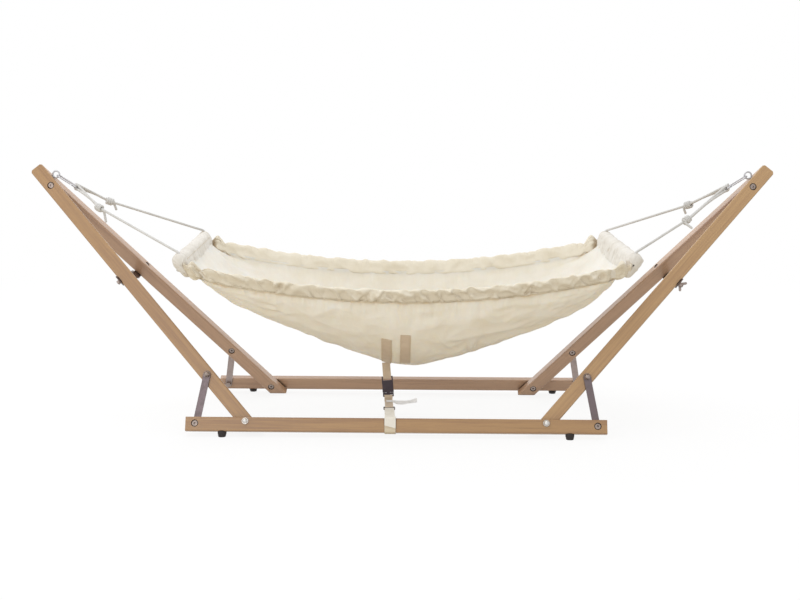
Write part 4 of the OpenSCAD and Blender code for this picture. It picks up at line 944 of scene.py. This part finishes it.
# the loop round the rail, and a pale flap of the same strap laid over it, its end cut on the slant
railLoop = {"x": -12, "half": 13, "height": 34, "depth": 18, "off": 1.2, "corner": 4, "tailWidth": 23.5}
hw, hh, r = railLoop["depth"] / 2 + railLoop["off"], railLoop["height"] / 2 + railLoop["off"], railLoop["corner"]
turn = np.radians(np.concatenate([np.linspace(a, a + 90, 9) for a in (0, 90, 180, 270)]))
outline = np.stack([np.repeat([hw - r, r - hw, r - hw, hw - r], 9) + r * np.cos(turn),
                    np.repeat([hh - r, hh - r, r - hh, r - hh], 9) + r * np.sin(turn)], axis=1)
outline = np.concatenate([outline, outline[:1]])
far = distances(outline)
outline = readOff(outline, far, np.linspace(0, far[-1], 110, endpoint=False))
xs = np.linspace(-railLoop["half"], railLoop["half"], 14)[:, None]
mid = onStandFace(xyz(railLoop["x"] + xs, railLoop["height"] / 2 + outline[:, 1],
                      -railLoop["depth"] / 2 + outline[:, 0]))
outward = wrapNormals(mid)
outward *= np.sign((outward[7, 0] * (0, -1, 0.3)).sum())
loopPart = sleevePart(mid + outward * strap["thickness"] / 2, strap["thickness"])
# painted shade: the loop has the darker copy of the webbing
newPiece("rail_loop_weave", [loopPart], shadedLoopWeb, "stand", ["rail_loop"])
tailRoute = [(-188, 46.9), (-174, 47.6), (-160, 49), (-140, 50.6), (-122, 51.3), (-108.9, 51.4), (-107.4, 50),
             (-107.4, 48), (-108.9, 46.6), (-114, 46.6), (-128, 47.2)]
tailPart = strapPart([onStrap([0, y, z]) for y, z in tailRoute], acrossRun, 73, width=railLoop["tailWidth"])
# the flap in rows along the rail, each from the rail's top over its edge and down to the cut
flap = {"half": 13.2, "thickness": 1.0, "cut": 12.5, "slant": -3.5,
        "top": [(36.9, -14), (37.0, -6), (36.6, 0.6), (33.5, 3.0), (28, 3.0), (20, 2.9), (12, 3.0)]}
rows = []
for f in np.linspace(-1, 1, 12):
    x, cut = railLoop["x"] + flap["half"] * f, flap["cut"] + flap["slant"] * f
    path = smoothPath([[x, s, z] for s, z in flap["top"] if s > cut + 3] + [[x, cut, 3.2]], 0.5)
    rows.append(readOff(path, np.arange(len(path)), np.linspace(0, len(path) - 1, 60)))
newPiece("rail_flap_weave", [sheetPart(onStandFace(np.array(rows)), flap["thickness"]), tailPart], paleWeb,
         "stand", ())

# plain woven tag: its held end lies on the strap, the rest sags and turns from 9 degrees to 67
tag = {"width": 11, "length": 76, "thickness": 0.7, "start": (-6, -30, 51.1), "held": 0.2, "sway": 3,
       "sag": 5, "lift": 2, "lean": 9, "curl": 34, "turn": 58}
f = np.linspace(0, 1, 120)
g = np.maximum(0, f - tag["held"]) / (1 - tag["held"])
angle = np.radians(tag["lean"] + tag["curl"] * np.sin(math.pi * np.clip(g * 1.6, 0, 1)) + tag["turn"] * g ** 3)
path = xyz(tag["start"][0] + tag["length"] * f, tag["start"][1] + tag["sway"] * np.sin(math.pi * g),
           tag["start"][2] - tag["sag"] * np.sin(math.pi * g ** 0.8) + tag["lift"] * g ** 2)
w = np.linspace(-1, 1, 12)[:, None, None] * tag["width"] / 2
grid = path + w * xyz(0, np.cos(angle), np.sin(angle))
newPiece("strap_tag_tape", [sheetPart(onStrap(grid), tag["thickness"])], whiteTape, "cradle", ["strap_tag"])
print("webbing sewn")

# studio: pale floor and backdrop, broad soft light. The panels are in metres and watts; the rim panel behind
# gives the lacquer its pale upper edges, and the camera doesn't see it
studio = {"sky": 0.83, "white": 0.86, "bounce": "D4CBBA", "target": (0, 0, 0.35),
          "panels": {"key": {"power": 29, "at": (-0.9, -0.1, 3.4), "size": (2.6, 2.6)},
                     "fill": {"power": 21, "at": (-1.7, -3.2, 1.3), "size": (2.4, 2.4)},
                     "rim": {"power": 55, "at": (0, 3.6, 2.4), "size": (6, 3.6), "tilt": math.radians(-68)}}}
floorMesh = bpy.data.meshes.new("floor")
floorMesh.from_pydata([(-12, -8, 0), (12, -8, 0), (12, 14, 0), (-12, 14, 0)], [], [(0, 1, 2, 3)])
floor = bpy.data.objects.new("floor", floorMesh)
scene.collection.objects.link(floor)
# seen directly it is white, whiter still far away; its bounce on the object is that of warm grey card
paper, shader, place = newMaterial("white studio paper")
seen = directlySeen(paper)
setInputs(paper, shader, {
    "Roughness": 0.9, "Base Color": mixColours(paper, seen, linear(studio["bounce"]), linear("FAFAFA"))})
away = addNode(paper, "VectorMath", {0: place}, operation="LENGTH").outputs["Value"]
share = addMath(paper, "MULTIPLY", seen, remap(paper, away, 1.0, 3.2, studio["white"], 1.0))
glow = addNode(paper, "Emission", {"Color": (1, 1, 1, 1), "Strength": 1.0}).outputs[0]
mixed = addNode(paper, "MixShader", {0: share, 1: shader.outputs[0], 2: glow}).outputs[0]
setInputs(paper, paper.node_tree.nodes["Material Output"], {"Surface": mixed})
floorMesh.materials.append(paper)

world = bpy.data.worlds.new("studio")
scene.world = world
world.use_nodes = True
strength = remap(world, directlySeen(world), 0.0, 1.0, studio["sky"], 1.0)
setInputs(world, world.node_tree.nodes["Background"], {"Color": (1, 1, 1, 1), "Strength": strength})
for name, panel in studio["panels"].items():
    lampData = bpy.data.lights.new(name, "AREA")
    lampData.energy, lampData.shape = panel["power"], "RECTANGLE"
    lampData.size, lampData.size_y = panel["size"]
    lamp = bpy.data.objects.new(name, lampData)
    lamp.location = panel["at"]
    if "tilt" in panel:
        lamp.rotation_euler = (panel["tilt"], 0, 0)
        lamp.visible_camera = False
    else:
        dx, dy, dz = np.array(studio["target"]) - panel["at"]
        lamp.rotation_euler = (math.atan2(math.hypot(dx, dy), -dz), 0, math.atan2(-dx, dy))
    scene.collection.objects.link(lamp)
print("studio lit")
